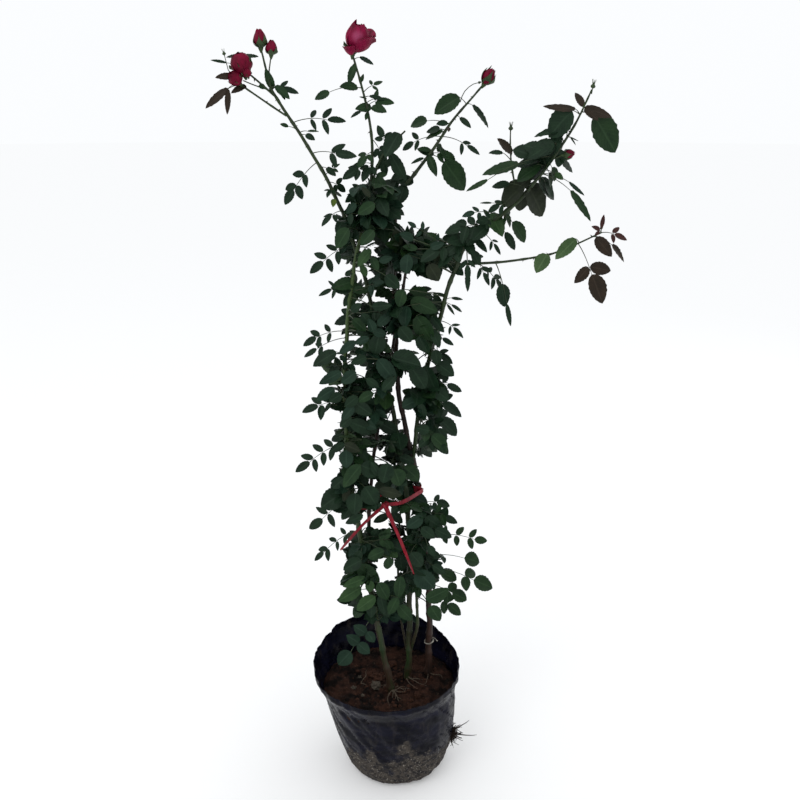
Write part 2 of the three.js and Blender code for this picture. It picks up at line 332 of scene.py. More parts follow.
def film_radius(angle, height):
    """How far the folded film stands from the bag's axis below the mouth."""
    return wall_radius(angle, height) + film_fold(angle, height)


def stack_of_rings(sides, levels):
    """A tube of unit radius with a ring of edges at each whole height, ready to be shaped."""
    bpy.ops.object.select_all(action="DESELECT")
    bpy.ops.mesh.primitive_circle_add(vertices=sides, radius=1, fill_type="NOTHING")
    bpy.ops.object.mode_set(mode="EDIT")
    for _ in range(levels):
        bpy.ops.mesh.extrude_edges_move(TRANSFORM_OT_translate={"value": (0, 0, 1)})
    bpy.ops.object.mode_set(mode="OBJECT")
    return bpy.context.object


def close_mesh():
    """Closes the selected ring with one face, turns all faces out and leaves edit mode."""
    bpy.ops.mesh.edge_face_add()
    bpy.ops.mesh.select_all(action="SELECT")
    bpy.ops.mesh.normals_make_consistent(inside=False)
    bpy.ops.object.mode_set(mode="OBJECT")


bag = stack_of_rings(BAG_SIDES, BAG_LEVELS)
mouth_by_side = {}
for vertex in bag.data.vertices:
    angle = math.atan2(vertex.co.y, vertex.co.x)
    side = round(angle * BAG_SIDES / math.tau) % BAG_SIDES
    if side not in mouth_by_side:
        wave = ripple(angle, 0, *MOUTH_WAVES)
        mouth_by_side[side] = mouth_height(angle) + RIM_LIFT + MOUTH_RIPPLE * wave
    height = vertex.co.z / BAG_LEVELS * mouth_by_side[side]
    radius = wall_radius(angle, min(height, mouth_by_side[side] - RIM_LIFT - 4 * MM))
    radius += film_fold(angle, height)
    vertex.co = bag_axis(height) + level_way(angle) * radius
    vertex.co.z = height
# The bottom: the lowest ring is drawn in twice and closed.
bpy.ops.object.mode_set(mode="EDIT")
bpy.ops.mesh.select_mode(type="EDGE")
bpy.ops.mesh.select_all(action="DESELECT")
bpy.ops.object.mode_set(mode="OBJECT")
for edge in bag.data.edges:
    edge.select = all(bag.data.vertices[v].co.z < 0.01 * MM for v in edge.vertices)
bpy.ops.object.mode_set(mode="EDIT")
for reach in (0.86, 0.5):
    bpy.ops.mesh.extrude_edges_move(TRANSFORM_OT_translate={"value": (0, 0, 0)})
    bpy.ops.transform.resize(value=(reach, reach, 1))
close_mesh()
film = bag.modifiers.new("film", "SOLIDIFY")
film.thickness = FILM
film.offset = -1
bpy.ops.object.modifier_apply(modifier=film.name)
bpy.ops.object.shade_smooth_by_angle(angle=math.radians(50))

# The paler bluish patches on the film stand partly for cloudy wear and partly for a painted
# sheen of light on the polythene.
FILM_BLACK = (0.0012, 0.0013, 0.0040)
FILM_WEAR_AND_SHEEN = (0.0058, 0.0062, 0.0165)
DRY_MUD = (0.062, 0.053, 0.044)
DAMP_MUD = (0.016, 0.015, 0.016)
PALE_GRIT = (0.26, 0.24, 0.21)
MUD_CLIMB = 120 * MM  # how much higher the mud reaches in some places than in others
MUD_EDGE = (8 * MM, 30 * MM, 0.85, 0.0)  # from and to height, share of mud there
SCUFF_SHARE = 0.28
FILM_TO_MUD_ROUGHNESS = (0, 1, 0.27, 0.85)

bag_film, tree, shader = new_finish("black bag film", 0.42, 0.08)
# Patches of worn film that are also a painted sheen.
wear_and_sheen = mottle(tree, 16, (1, 1, 2.2), 0.42, 0.68)
scuffs = mottle(tree, 60, (1, 1, 0.35), 0.52, 0.74)
mud_edge = mottle(tree, 12, (1, 1, 1.0), 0.34, 0.66)
mud_damp = mottle(tree, 90, (1, 1, 1), 0.44, 0.60)
grit = mottle(tree, 300, (1, 1, 1), 0.58, 0.66)
crumple = mottle(tree, 42, (1, 1, 0.8))
lowered = calculate(
    tree, "MULTIPLY_ADD", mud_edge.outputs["Mask"], -MUD_CLIMB, height_of(tree)
)
muddy = rescale(tree, lowered, MUD_EDGE)
film_wear_and_sheen = blend_colours(tree, wear_and_sheen.outputs["Mask"], FILM_BLACK, FILM_WEAR_AND_SHEEN)
scuffed = calculate(tree, "MULTIPLY", scuffs.outputs["Mask"], SCUFF_SHARE)
dusty = blend_colours(tree, scuffed, film_wear_and_sheen, DRY_MUD)
crust = blend_colours(tree, mud_damp.outputs["Mask"], DRY_MUD, DAMP_MUD)
caked = blend_colours(tree, muddy, dusty, crust)
gritty = calculate(tree, "MULTIPLY", grit.outputs["Mask"], muddy)
speckled = blend_colours(tree, gritty, caked, PALE_GRIT)
tree.links.new(speckled, shader.inputs["Base Color"])
dull = rescale(tree, muddy, FILM_TO_MUD_ROUGHNESS)
tree.links.new(dull, shader.inputs["Roughness"])
add_bump(tree, shader, crumple.outputs["Height"], 0.35, 3 * MM)
finish_piece(bag, "bag_film", bag_film, "bag_film", "bag")


# --- Soil ---------------------------------------------------------------------------------
# Red-brown loam fills the bag. Its top is a disc of rings that is raised into crumbs and
# hollows in code; the ball under it follows the bag's inside, closed at the bottom.

SOIL_SIDES = 144
SOIL_RINGS, WALL_RINGS = 62, 14  # rings in all, and those of them that run up the side
SOIL_INSET = 2.2 * MM
SOIL_RELIEF = (  # waves a metre, layer of the noise and height in mm: heaps down to grains
    (13, 1.7, 4.0), (55, 4.2, 7.0), (150, 9.1, 5.2), (330, 2.6, 1.8),
)
SETTLING = 1.5  # mm
PIT, PIT_DEPTH = (-90, -10, 18), 7  # x, y, radius and depth in mm of a hollow round a stone
ROUND_FROM, ROUND_DROP = 0.93, 60  # share of the radius where the edge starts to sink
soil_low, soil_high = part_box("soil")


def soil_height(x, y):
    """The uneven top of the soil: broad heaps, lumps, crumbs and grains, and the hollow."""
    relief = sum(
        height * noise.noise(Vector((waves * x, waves * y, layer)))
        for waves, layer, height in SOIL_RELIEF
    )
    from_pit = math.hypot(x - PIT[0] * MM, y - PIT[1] * MM) / (PIT[2] * MM)
    pit = PIT_DEPTH * math.exp(-(from_pit**4))
    return soil_high.z + (relief - SETTLING - pit) * MM


soil = stack_of_rings(SOIL_SIDES, SOIL_RINGS)
for vertex in soil.data.vertices:
    angle = math.atan2(vertex.co.y, vertex.co.x)
    outward = level_way(angle)
    ring = round(vertex.co.z)
    if ring < WALL_RINGS:
        height = soil_low.z + (soil_high.z - 6 * MM - soil_low.z) * ring / WALL_RINGS
        vertex.co = bag_axis(height) + outward * (film_radius(angle, height) - SOIL_INSET)
        vertex.co.z = height
    else:
        share = 1 - (ring - WALL_RINGS) / (SOIL_RINGS - WALL_RINGS + 0.5)
        rim = film_radius(angle, soil_high.z) - SOIL_INSET
        place = bag_axis(soil_high.z) + outward * rim * share
        vertex.co = (place.x, place.y, soil_height(place.x, place.y))
        if share > ROUND_FROM:
            vertex.co.z -= (share - ROUND_FROM) * ROUND_DROP * MM
bpy.ops.object.mode_set(mode="EDIT")
bpy.ops.mesh.select_all(action="DESELECT")
bpy.ops.mesh.select_non_manifold()
close_mesh()
bpy.ops.object.shade_smooth_by_angle(angle=math.radians(60))

LOAM_DARK = (0.0036, 0.0022, 0.0018)
LOAM_RED = (0.0330, 0.0145, 0.0095)
LOAM_PALE = (0.075, 0.050, 0.034)

loam, tree, shader = new_finish("red-brown loam", 0.95, 0.1)
damp = mottle(tree, 34, low=0.42, high=0.62)
crumbs = mottle(tree, 190, low=0.6, high=0.78)
base = blend_colours(tree, damp.outputs["Mask"], LOAM_DARK, LOAM_RED)
flecked = blend_colours(tree, crumbs.outputs["Mask"], base, LOAM_PALE)
tree.links.new(flecked, shader.inputs["Base Color"])
grains = mottle(tree, 420)
add_bump(tree, shader, grains.outputs["Height"], 0.8, 2 * MM)
finish_piece(soil, "soil_ball", loam, "soil", "soil")


# --- Clods, stones and roots --------------------------------------------------------------
# Loose lumps lie on the soil, a few pale stones among them. Fine pale roots show at the foot
# of the front canes, and a tuft of dark ones has grown out through the bag's side.

LUMPS = (  # name, colour, rows of x, y, size in mm, how many crumbs besides
    ("clods", (0.046, 0.019, 0.011),
     ((-40, 8, 12), (-58, 24, 7), (44, -52, 7), (-8, 62, 8)), 210),
    ("stones", (0.075, 0.062, 0.048), ((-92, -12, 6), (-44, -22, 11), (-70, -52, 4)), 6),
)


def join_arrays(name, parts):
    """One mesh object from many (points, faces) arrays."""
    points, faces, start = [], [], 0
    for part_points, part_faces in parts:
        points.extend(part_points)
        faces.extend(tuple(index + start for index in face) for face in part_faces)
        start += len(part_points)
    mesh = bpy.data.meshes.new(name)
    mesh.from_pydata([tuple(p) for p in points], [], faces)
    piece = bpy.data.objects.new(name, mesh)
    bpy.context.scene.collection.objects.link(piece)
    return piece


def pick(piece):
    """Makes piece the one selected and active object."""
    bpy.ops.object.select_all(action="DESELECT")
    piece.select_set(True)
    bpy.context.view_layer.objects.active = piece


def smooth_piece(piece, degrees=50):
    """Smooth shading up to the given edge angle."""
    pick(piece)
    bpy.ops.object.shade_smooth_by_angle(angle=math.radians(degrees))


SUNK, DENTS, SQUAT = 0.15, 0.75, 0.62  # shares of a lump's size
CRUMB_SPREAD, CRUMB_SIZES = 52, (1.5, 4.5)  # mm
CRUMB_EDGE = 105


def crumbled_lumps(rows, dice):
    """Small irregular lumps: a ball of triangles pressed flat and dented, one for each row."""
    bpy.ops.object.select_all(action="DESELECT")
    bpy.ops.mesh.primitive_ico_sphere_add(subdivisions=3, radius=1)
    ball = bpy.context.object
    ball_points = [v.co.copy() for v in ball.data.vertices]
    ball_faces = [tuple(face.vertices) for face in ball.data.polygons]
    bpy.data.objects.remove(ball)
    for x, y, size in rows:
        shift = Vector((dice.uniform(0, 9), dice.uniform(0, 9), dice.uniform(0, 9)))
        centre = Vector((x * MM, y * MM, soil_height(x * MM, y * MM) + SUNK * size * MM))
        shaped = []
        for point in ball_points:
            dent = 1 + DENTS * noise.noise(point * 1.9 + shift)
            squat = Vector((point.x, point.y, SQUAT * point.z))
            shaped.append(centre + squat * dent * size * MM)
        yield shaped, ball_faces


dice = random.Random(41)
for name, colour, rows, count in LUMPS:
    crumbs = [
        (dice.gauss(-6, CRUMB_SPREAD), dice.gauss(0, CRUMB_SPREAD), dice.uniform(*CRUMB_SIZES))
        for _ in range(count)
    ]
    inside = [row for row in crumbs if math.hypot(row[0] + 12, row[1]) < CRUMB_EDGE]
    piece = join_arrays(name, crumbled_lumps([*rows, *inside], dice))
    smooth_piece(piece, 35)
    darker = tuple(0.45 * channel for channel in colour)
    lump_finish = patchy_finish(
        name + " earth", 0.92, 0.15, darker, colour, (240, (1, 1, 1), 0.35, 0.65), 0.6
    )
    finish_piece(piece, name, lump_finish, "soil")


def tube(points, radii, sides=5):
    """Points and faces of a closed thin tube along points, with a radius at each."""
    points = [Vector(p) for p in points]
    ring_points, faces = [], []
    guide = None
    for index, point in enumerate(points):
        ahead = points[min(index + 1, len(points) - 1)]
        behind = points[max(index - 1, 0)]
        along = (ahead - behind).normalized()
        guide = along.orthogonal() if guide is None else guide - along * guide.dot(along)
        guide.normalize()
        across = along.cross(guide)
        for side in range(sides):
            turn = math.tau * side / sides
            spoke = guide * math.cos(turn) + across * math.sin(turn)
            ring_points.append(point + spoke * radii[index])
    for ring in range(len(points) - 1):
        for side in range(sides):
            near, far = ring * sides + side, ring * sides + (side + 1) % sides
            faces.append((near, far, far + sides, near + sides))
    faces.append(tuple(reversed(range(sides))))
    faces.append(tuple(range((len(points) - 1) * sides, len(points) * sides)))
    return ring_points, faces


def root_line(start, heading, length, thick, dice, crook=0.32):
    """A crooked root that tapers to a thin end; crook is how much it turns at each step."""
    steps, taper = 9, 0.85
    points, place = [], Vector(start)
    heading = Vector(heading).normalized()
    for step in range(steps):
        points.append(place.copy())
        wander = Vector((dice.gauss(0, 1), dice.gauss(0, 1), dice.gauss(0, 0.6)))
        heading = (heading + crook * wander).normalized()
        place = place + heading * length / steps
    radii = [thick * (1 - taper * step / steps) for step in range(steps)]
    return tube(points, radii, 4)


dice = random.Random(7)
FRONT_CANE = (-6, -46)  # x, y in mm
ROOT_STARTS = (  # x, y in mm and the way each root runs, in degrees
    *((*FRONT_CANE, turn) for turn in (-75, -48, -20, -100, -130, 15, 150, -60)),
    (6, -30, -35), (10, -26, -80), (4, -20, -120), (26, 2, -70), (22, 0, -110), (30, 6, -30),
    (68, 18, -100), (70, 20, -50),
)
ROOT_LENGTHS, ROOT_RADIUS = (34, 72), 1.1  # mm
STANDING_ROOTS = (  # heading, length and radius in mm
    ((0.1, 0, 1), 40, 1.2), ((0.8, -0.3, 0.3), 30, 1.0),
)
PLAIN_PATCHES = ((1, 1, 1), 0.3, 0.7)
surface_roots = []
for x, y, turn in ROOT_STARTS:
    start = Vector((x * MM, y * MM, soil_height(x * MM, y * MM) + 5 * MM))
    length, heading = dice.uniform(*ROOT_LENGTHS) * MM, level_way(math.radians(turn))
    surface_roots.append(root_line(start, heading, length, ROOT_RADIUS * MM, dice))
standing = Vector((-76 * MM, -8 * MM, soil_high.z - 2 * MM))
for heading, length, radius in STANDING_ROOTS:
    surface_roots.append(root_line(standing, heading, length * MM, radius * MM, dice))
piece = join_arrays("surface_roots", surface_roots)
smooth_piece(piece)
root_skin = patchy_finish(
    "pale root skin", 0.8, 0.2, (0.040, 0.030, 0.020), (0.125, 0.100, 0.075),
    (300, *PLAIN_PATCHES),
)
finish_piece(piece, "surface_roots", root_skin, "soil")

TUFT_ANGLE = math.radians(-14)
TUFT_HEIGHT = 84 * MM
TUFT_COUNT = 110
TUFT_LENGTHS = (12, 14, 17, 20, 32)  # mm
LONG_STRANDS = (((1, -0.1, -0.3), 66), ((1, 0, 0.2), 52), ((1, -0.1, -1.0), 34))
tuft_out = level_way(TUFT_ANGLE)
tuft_foot = bag_axis(TUFT_HEIGHT) + tuft_out * (film_radius(TUFT_ANGLE, TUFT_HEIGHT) - 3 * MM)
tuft_foot.z = TUFT_HEIGHT
tuft = []
for _ in range(TUFT_COUNT):
    lean = Vector((dice.gauss(0.2, 0.4), dice.gauss(0, 0.6), dice.gauss(-0.05, 0.7)))
    start = tuft_foot + Vector((0, dice.uniform(-6, 6), dice.uniform(-15, 9))) * MM
    length = dice.choice(TUFT_LENGTHS) * MM
    tuft.append(root_line(start, tuft_out + lean, length, 1.4 * MM, dice))
for heading, length in LONG_STRANDS:
    tuft.append(root_line(tuft_foot, heading, length * MM, 1.8 * MM, dice, crook=0.10))
piece = join_arrays("root_tuft", tuft)
smooth_piece(piece)
dark_root = patchy_finish(
    "dark root skin", 0.85, 0.15, (0.006, 0.004, 0.004), (0.03, 0.02, 0.014),
    (200, *PLAIN_PATCHES),
)
finish_piece(piece, "root_tuft", dark_root, "soil")


# --- Canes and boughs ---------------------------------------------------------------------
# Each limb is one round stem that tapers from a flared foot. Its middle line and thickness
# are read off the CAD limb by slicing it; a path of that line is swept round and its bark
# raised at the leaf nodes.

GREEN_LIMBS = (
    "cane_left", "cane_middle", "cane_side", "shoot_middle_left", "shoot_middle_right",
    "stem_top", "shoot_centre", "bough_left", "bough_bud", "bough_right",
    "shoot_right_inner", "bough_low_right", "stalk_bud_left", "stalk_bloom_left",
    "stalk_side_left",
)
BROWN_LIMBS = ("cane_brown", "cane_old")
SLICE_STEP = 9 * MM
END_MARGIN = (0.12, 5 * MM)  # of the limb's extent, and at most: its ends aren't sliced
SMOOTHINGS = 6
PATH_STEP = 4 * MM
NODE_SPACING = 46 * MM
NODE_SHORTNESS = 9
BARE_RADIUS, NODE_SWELL, NODE_SWAY, BARK_RELIEF = 0.93, 0.2, 0.16, 0.2  # of the CAD radius


def spine_of(node):
    """The middle line of a CAD limb, foot first, and its radius at each point of the line."""
    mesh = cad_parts[node].data
    points = np.array([v.co for v in mesh.vertices])
    ends = np.array([e.vertices for e in mesh.edges])
    first, second = points[ends[:, 0]], points[ends[:, 1]]
    low, high = points.min(0), points.max(0)
    axis = int(np.argmax(high - low))
    count = max(5, int((high - low)[axis] / SLICE_STEP))
    margin = min(END_MARGIN[0] * (high - low)[axis], END_MARGIN[1])
    centres, rings = [], []
    for place in np.linspace(low[axis] + margin, high[axis] - margin, count):
        before, after = first[:, axis] - place, second[:, axis] - place
        crossing = before * after < 0
        share = before[crossing] / (before[crossing] - after[crossing])
        cut = first[crossing] + (second - first)[crossing] * share[:, None]
        centres.append((cut.min(0) + cut.max(0)) / 2)
        rings.append(cut)
    centres = np.array(centres)
    along = np.gradient(centres, axis=0)
    along /= np.linalg.norm(along, axis=1)[:, None]
    radii = []
    for centre, ring, way in zip(centres, rings, along):
        spokes = ring - centre
        spokes -= np.outer(spokes @ way, way)
        radii.append(np.linalg.norm(spokes, axis=1).max())
    radii = np.array(radii)
    for end, inner in ((0, 1), (-1, -2)):
        reach = margin / abs(along[end][axis])
        outward = centres[end] - centres[inner]
        centres[end] += outward / np.linalg.norm(outward) * reach
    smooth = centres.copy()
    for _ in range(SMOOTHINGS):
        smooth[1:-1] = (smooth[:-2] + 2 * smooth[1:-1] + smooth[2:]) / 4
        radii[1:-1] = (radii[:-2] + 2 * radii[1:-1] + radii[2:]) / 4
    if radii[:3].mean() < radii[-3:].mean():
        smooth, radii = smooth[::-1], radii[::-1]
    return smooth, radii


def lengths_along(line):
    """How far each point of a line lies from its foot, measured along the line."""
    return np.concatenate([[0], np.cumsum(np.linalg.norm(np.diff(line, axis=0), axis=1))])


def place_at(line, levels, level):
    """x, y and z where a line whose points lie at the rising levels reaches level."""
    return [np.interp(level, levels, line[:, i]) for i in range(3)]


bark_lumps = bpy.data.textures.new("bark lumps", "CLOUDS")
bark_lumps.noise_scale = 7 * MM
spines = {}
dice = random.Random(3)


def grow_limb(node, finish, slot):
    """Sweeps one limb along its spine, swollen at the nodes, and replaces the CAD limb."""
    line, radii = spine_of(node)
    spines[node] = (line, radii)
    lengths = lengths_along(line)
    fine = np.linspace(0, lengths[-1], max(8, int(lengths[-1] / PATH_STEP)))
    start = dice.uniform(0, NODE_SPACING)
    bpy.ops.object.select_all(action="DESELECT")
    bpy.ops.curve.primitive_nurbs_path_add()
    limb = bpy.context.object
    limb.data.splines.clear()
    path = limb.data.splines.new("POLY")
    path.points.add(len(fine) - 1)
    for index, reach in enumerate(fine):
        x, y, z = place_at(line, lengths, reach)
        radius = np.interp(reach, lengths, radii)
        off = (reach - start) / NODE_SPACING
        swell = math.exp(-(((off - round(off)) * NODE_SHORTNESS) ** 2))
        sway = NODE_SWAY * radius * math.sin(math.pi * off)
        path.points[index].co = (x + sway, y - sway, z, 1)
        path.points[index].radius = radius * (BARE_RADIUS + NODE_SWELL * swell)
    limb.data.bevel_depth = 1
    limb.data.bevel_resolution = 3
    limb.data.use_fill_caps = True
    bpy.ops.object.convert(target="MESH")
    limb = bpy.context.object
    relief = limb.modifiers.new("relief", "DISPLACE")
    relief.texture = bark_lumps
    relief.texture_coords = "LOCAL"
    relief.strength = BARK_RELIEF * float(radii.mean())
    relief.mid_level = 0.5
    bpy.ops.object.modifier_apply(modifier=relief.name)
    bpy.ops.object.shade_smooth_by_angle(angle=math.radians(60))
    finish_piece(limb, node + "_bark", finish, slot, node)


OLD_BARK = (210 * MM, 460 * MM, 1.0, 0.1)  # from and to height, share there of the foot colour
# Painted highlight: the left cane's upper bark is painted a paler green for the light that
# falls on it there, while the other canes stand in shade.
LIT_BARK_HEIGHTS = (520 * MM, 900 * MM, 0.0, 0.6)  # the same for the painted highlight's paler green
GREEN_TONES = ((0.0055, 0.0150, 0.0038), (0.0210, 0.0440, 0.0100), (0.055, 0.080, 0.024))
BROWN_TONES = ((0.0090, 0.0048, 0.0034), (0.0360, 0.0160, 0.0100), (0.050, 0.040, 0.026))
FOOT_BROWN, LIT_BARK_GREEN = (0.0290, 0.0130, 0.0075), (0.0520, 0.0900, 0.0220)


def bark_finish(name, dark, light, fleck, foot=None, lit_green=None):
    """Bark of two tones in lengthwise streaks, with paler flecks and a fine grain. Old bark
    near the soil turns to the foot colour in long patches. Where a last colour is given, the
    bark higher up is painted that paler green: a painted highlight for bark that stands in the
    light."""
    finish, tree, shader = new_finish(name, 0.55, 0.3)
    streaks = mottle(tree, 120, (1, 1, 0.12), 0.36, 0.66)
    flecks = mottle(tree, 260, (1, 1, 0.6), 0.62, 0.74)
    toned = blend_colours(tree, streaks.outputs["Mask"], dark, light)
    flecked = blend_colours(tree, flecks.outputs["Mask"], toned, fleck)
    if foot:
        patches = mottle(tree, 62, (1, 1, 0.10), 0.36, 0.52)
        low_down = rescale(tree, height_of(tree), OLD_BARK)
        aged = calculate(tree, "MULTIPLY", low_down, patches.outputs["Mask"])
        flecked = blend_colours(tree, aged, flecked, foot)
    if lit_green:
        # Painted highlight: paler green blended in higher up.
        high_up = rescale(tree, height_of(tree), LIT_BARK_HEIGHTS)
        flecked = blend_colours(tree, high_up, flecked, lit_green)
    tree.links.new(flecked, shader.inputs["Base Color"])
    grain = mottle(tree, 380, (1, 1, 0.25))
    add_bump(tree, shader, grain.outputs["Height"], 0.5, 0.7 * MM)
    return finish


green_bark = bark_finish("green bark", *GREEN_TONES, foot=FOOT_BROWN)
# Only the left cane gets the painted highlight of paler bark higher up.
lit_upper_bark = bark_finish(
    "green bark painted lit above", *GREEN_TONES, foot=FOOT_BROWN, lit_green=LIT_BARK_GREEN
)
brown_bark = bark_finish("brown bark", *BROWN_TONES)
for node in GREEN_LIMBS:
    grow_limb(node, lit_upper_bark if node == "cane_left" else green_bark, "green_bark")
for node in BROWN_LIMBS:
    grow_limb(node, brown_bark, "brown_bark")


# --- Thorns -------------------------------------------------------------------------------
# Hooked prickles sit on the bark a few centimetres apart and point down the cane. All are
# one joined piece.

THORN_LENGTH = 4.6 * MM
THORN_SPACING = 21 * MM
THORN_SIDES = 5
THORN_RINGS = ((0.0, 0.0, 1.0), (0.45, 0.1, 0.5), (0.85, 0.42, 0.16))  # out, down, width
THORN_BREADTH = (0.34, 0.17)  # half its height and width at the foot, as shares of its length
FREE_OF_SOIL = 10 * MM


def thorn(foot, outward, down, length):
    """A flattened cone of five sides that bends down towards its tip."""
    across = outward.cross(down).normalized()
    points, faces = [], []
    for out, drop, width in THORN_RINGS:
        centre = foot + outward * out * length + down * drop * length
        for side in range(THORN_SIDES):
            turn = math.tau * side / THORN_SIDES
            points.append(
                centre
                + down * math.cos(turn) * width * THORN_BREADTH[0] * length
                + across * math.sin(turn) * width * THORN_BREADTH[1] * length
            )
    points.append(foot + outward * length + down * 0.75 * length)
    last = (len(THORN_RINGS) - 1) * THORN_SIDES
    sides = [(side, (side + 1) % THORN_SIDES) for side in range(THORN_SIDES)]
    for ring in range(0, last, THORN_SIDES):
        faces.extend(
            (ring + near, ring + far, ring + far + THORN_SIDES, ring + near + THORN_SIDES)
            for near, far in sides
        )
    faces.extend((last + near, last + far, last + THORN_SIDES) for near, far in sides)
    return points, faces


dice = random.Random(19)
thorns = []
for node in (*GREEN_LIMBS, *BROWN_LIMBS):
    line, radii = spines[node]
    lengths = lengths_along(line)
    reach = dice.uniform(0.2, 1) * THORN_SPACING
    while reach < lengths[-1] - 8 * MM:
        centre = Vector(place_at(line, lengths, reach))
        beyond = Vector(place_at(line, lengths, reach + 4 * MM))
        along = (beyond - centre).normalized()
        turn = dice.uniform(0, math.tau)
        outward = Matrix.Rotation(turn, 3, along) @ along.orthogonal().normalized()
        foot = centre + outward * np.interp(reach, lengths, radii) * 0.85
        size = THORN_LENGTH * dice.uniform(0.6, 1.15)
        if centre.z > soil_high.z + FREE_OF_SOIL:
            thorns.append(thorn(foot, outward, -along, size))
        reach += THORN_SPACING * dice.uniform(0.5, 1.7)
piece = join_arrays("thorns", thorns)
smooth_piece(piece, 60)
thorn_finish = bark_finish(
    "thorn horn", (0.012, 0.010, 0.005), (0.040, 0.028, 0.012), (0.060, 0.050, 0.025)
)
finish_piece(piece, "thorns", thorn_finish, "green_bark")


# --- Leaf pattern -------------------------------------------------------------------------
# A rose leaf is a thin stalk with one leaflet at its tip and one to three pairs below. Every
# leaflet is cut from the same toothed oval, creased along its rib, and bent each its own way.
# Leaflets are gathered by tint and stalks apart, and joined into pieces at the end.

STATIONS = 14
TINTS = ("deep", "blue", "mid", "bright", "pale", "olive", "bronze", "red", "lime")
leaflets = {tint: [] for tint in TINTS}
stalks = []


def leaflet_pattern():
    """A unit leaflet as columns (side, along), from the stalk at 0 to the tip at 1."""
    rows = []
    for station in range(STATIONS + 1):
        along = station / STATIONS
        belly = math.sin(math.pi * along**0.88) ** 0.64 * (1 - 0.12 * along)
        tooth = 1.02 if station % 2 else 0.955
        rows.append((along, 0.5 * belly * tooth if 0 < station < STATIONS else 0.0))
    points = []
    for along, half in rows:
        back = 0.016 if half else 0.0
        for side in (-1, -0.5, 0, 0.5, 1):
            points.append((side * half, along - back * (abs(side) == 1), abs(side)))
    faces = []
    for station in range(STATIONS):
        for column in range(4):
            near = station * 5 + column
            faces.append((near, near + 1, near + 6, near + 5))
    return np.array(points), np.array(faces)


PATTERN, PATTERN_FACES = leaflet_pattern()
BLADE_MAP = np.column_stack([PATTERN[:, 2], PATTERN[:, 1]]).astype(np.float32)


def add_leaflet(foot, heading, face, length, wide, tint, dice):
    """Bends one leaflet and puts it at foot, pointing along heading, its upper side to face."""
    heading = heading.normalized()
    across = heading.cross(face).normalized()
    upward = across.cross(heading)
    crease = dice.uniform(0.12, 0.42)
    droop = dice.uniform(0.02, 0.30)
    curl = dice.uniform(-0.10, 0.16)
    twist = dice.uniform(-0.25, 0.25)
    side = PATTERN[:, 0] * wide
    along = PATTERN[:, 1]
    lift = crease * np.abs(side) - droop * along**2 * 0.5 - curl * (side / wide) ** 2 * 1.1
    lift = lift + twist * side * along
    lift = lift + 0.012 * np.sin(along * 31) * PATTERN[:, 2]
    reach = along - 0.12 * droop * along**2
    places = (
        np.outer(side * length, across)
        + np.outer(reach * length, heading)
        + np.outer(lift * length, upward)
        + np.array(foot)
    )
    leaflets[tint].append(places)


def add_stalk(points, thick, thin):
    """A petiole, twig or stalk that tapers from thick to thin."""
    steps = len(points) - 1
    radii = [thick + (thin - thick) * step / steps for step in range(len(points))]
    stalks.append(tube(points, radii, 5))


def arc(start, end, arch, steps=7):
    """Points of a curve from start to end, its middle moved by arch."""
    middle = (start + end) / 2 + arch
    points = []
    for step in range(steps + 1):
        share = step / steps
        rest = 1 - share
        points.append(start * rest**2 + middle * 2 * share * rest + end * share**2)
    return points


PAIR_PLACES = {1: (), 3: (0.80,), 5: (0.52, 0.86), 7: (0.36, 0.62, 0.88)}


def add_leaf(foot, tip, count, length, wide, tint, face, dice, end_scale=1.15, keep=None):
    """One rose leaf from foot to the tip of its end leaflet, with count leaflets. keep says of
    a place whether a leaflet may cover it. Returns how many leaflets were set."""
    whole = tip - foot
    end_length = length * end_scale
    stalk_length = max(whole.length - end_length, 0.28 * length)
    droop = whole.normalized() - UP * dice.uniform(0.05, 0.3)
    stalk_end = tip - droop.normalized() * end_length
    if (stalk_end - foot).length > 1.6 * stalk_length:
        stalk_end = foot + whole.normalized() * stalk_length
    side_way = whole.cross(UP)
    side_way = side_way.normalized() if side_way.length > 1e-6 else Vector((1, 0, 0))
    arch = UP * 0.16 * stalk_length + side_way * dice.uniform(-0.1, 0.1) * stalk_length
    path = arc(foot, stalk_end, arch)
    face = (face - whole.normalized() * face.dot(whole.normalized())).normalized()
    blades = [(stalk_end, tip - stalk_end, face, end_length)]
    steps = len(path) - 1
    for pair, share in enumerate(PAIR_PLACES[count]):
        index = min(int(share * steps), steps - 1)
        spot = path[index] + (path[index + 1] - path[index]) * (share * steps - index)
        along = (path[index + 1] - path[index]).normalized()
        across = along.cross(face).normalized()
        size = length * (0.80 + 0.16 * pair / max(1, len(PAIR_PLACES[count]) - 1))
        for hand in (-1, 1):
            open_angle = math.radians(dice.uniform(48, 72))
            way = along * math.cos(open_angle) + across * hand * math.sin(open_angle)
            way = way - UP * dice.uniform(0.0, 0.35)
            tilt = (face + across * hand * dice.uniform(-0.35, 0.2)).normalized()
            stub = spot + way.normalized() * 1.5 * MM
            blades.append((stub, way, tilt, size * dice.uniform(0.88, 1.1)))
    kept = [
        (spot, way, tilt, size) for spot, way, tilt, size in blades
        if keep is None or keep(spot + way.normalized() * 0.5 * size)
    ]
    bare = keep is not None and not all(keep(spot) for spot in path[1::2])
    if bare or 2 * len(kept) < len(blades):
        return 0
    add_stalk(path, 0.9 * MM, 0.5 * MM)
    for spot, way, tilt, size in kept:
        add_leaflet(spot, way, tilt, size, wide, tint, dice)
    return len(kept)


# --- Leaves of the column -----------------------------------------------------------------
# Between the bag and the fork, leaves grow out all round the tied canes, each from the cane
# near it or from a short twig of that cane. No leaflet is set beyond the column's edge or in
# the open gaps between the canes.

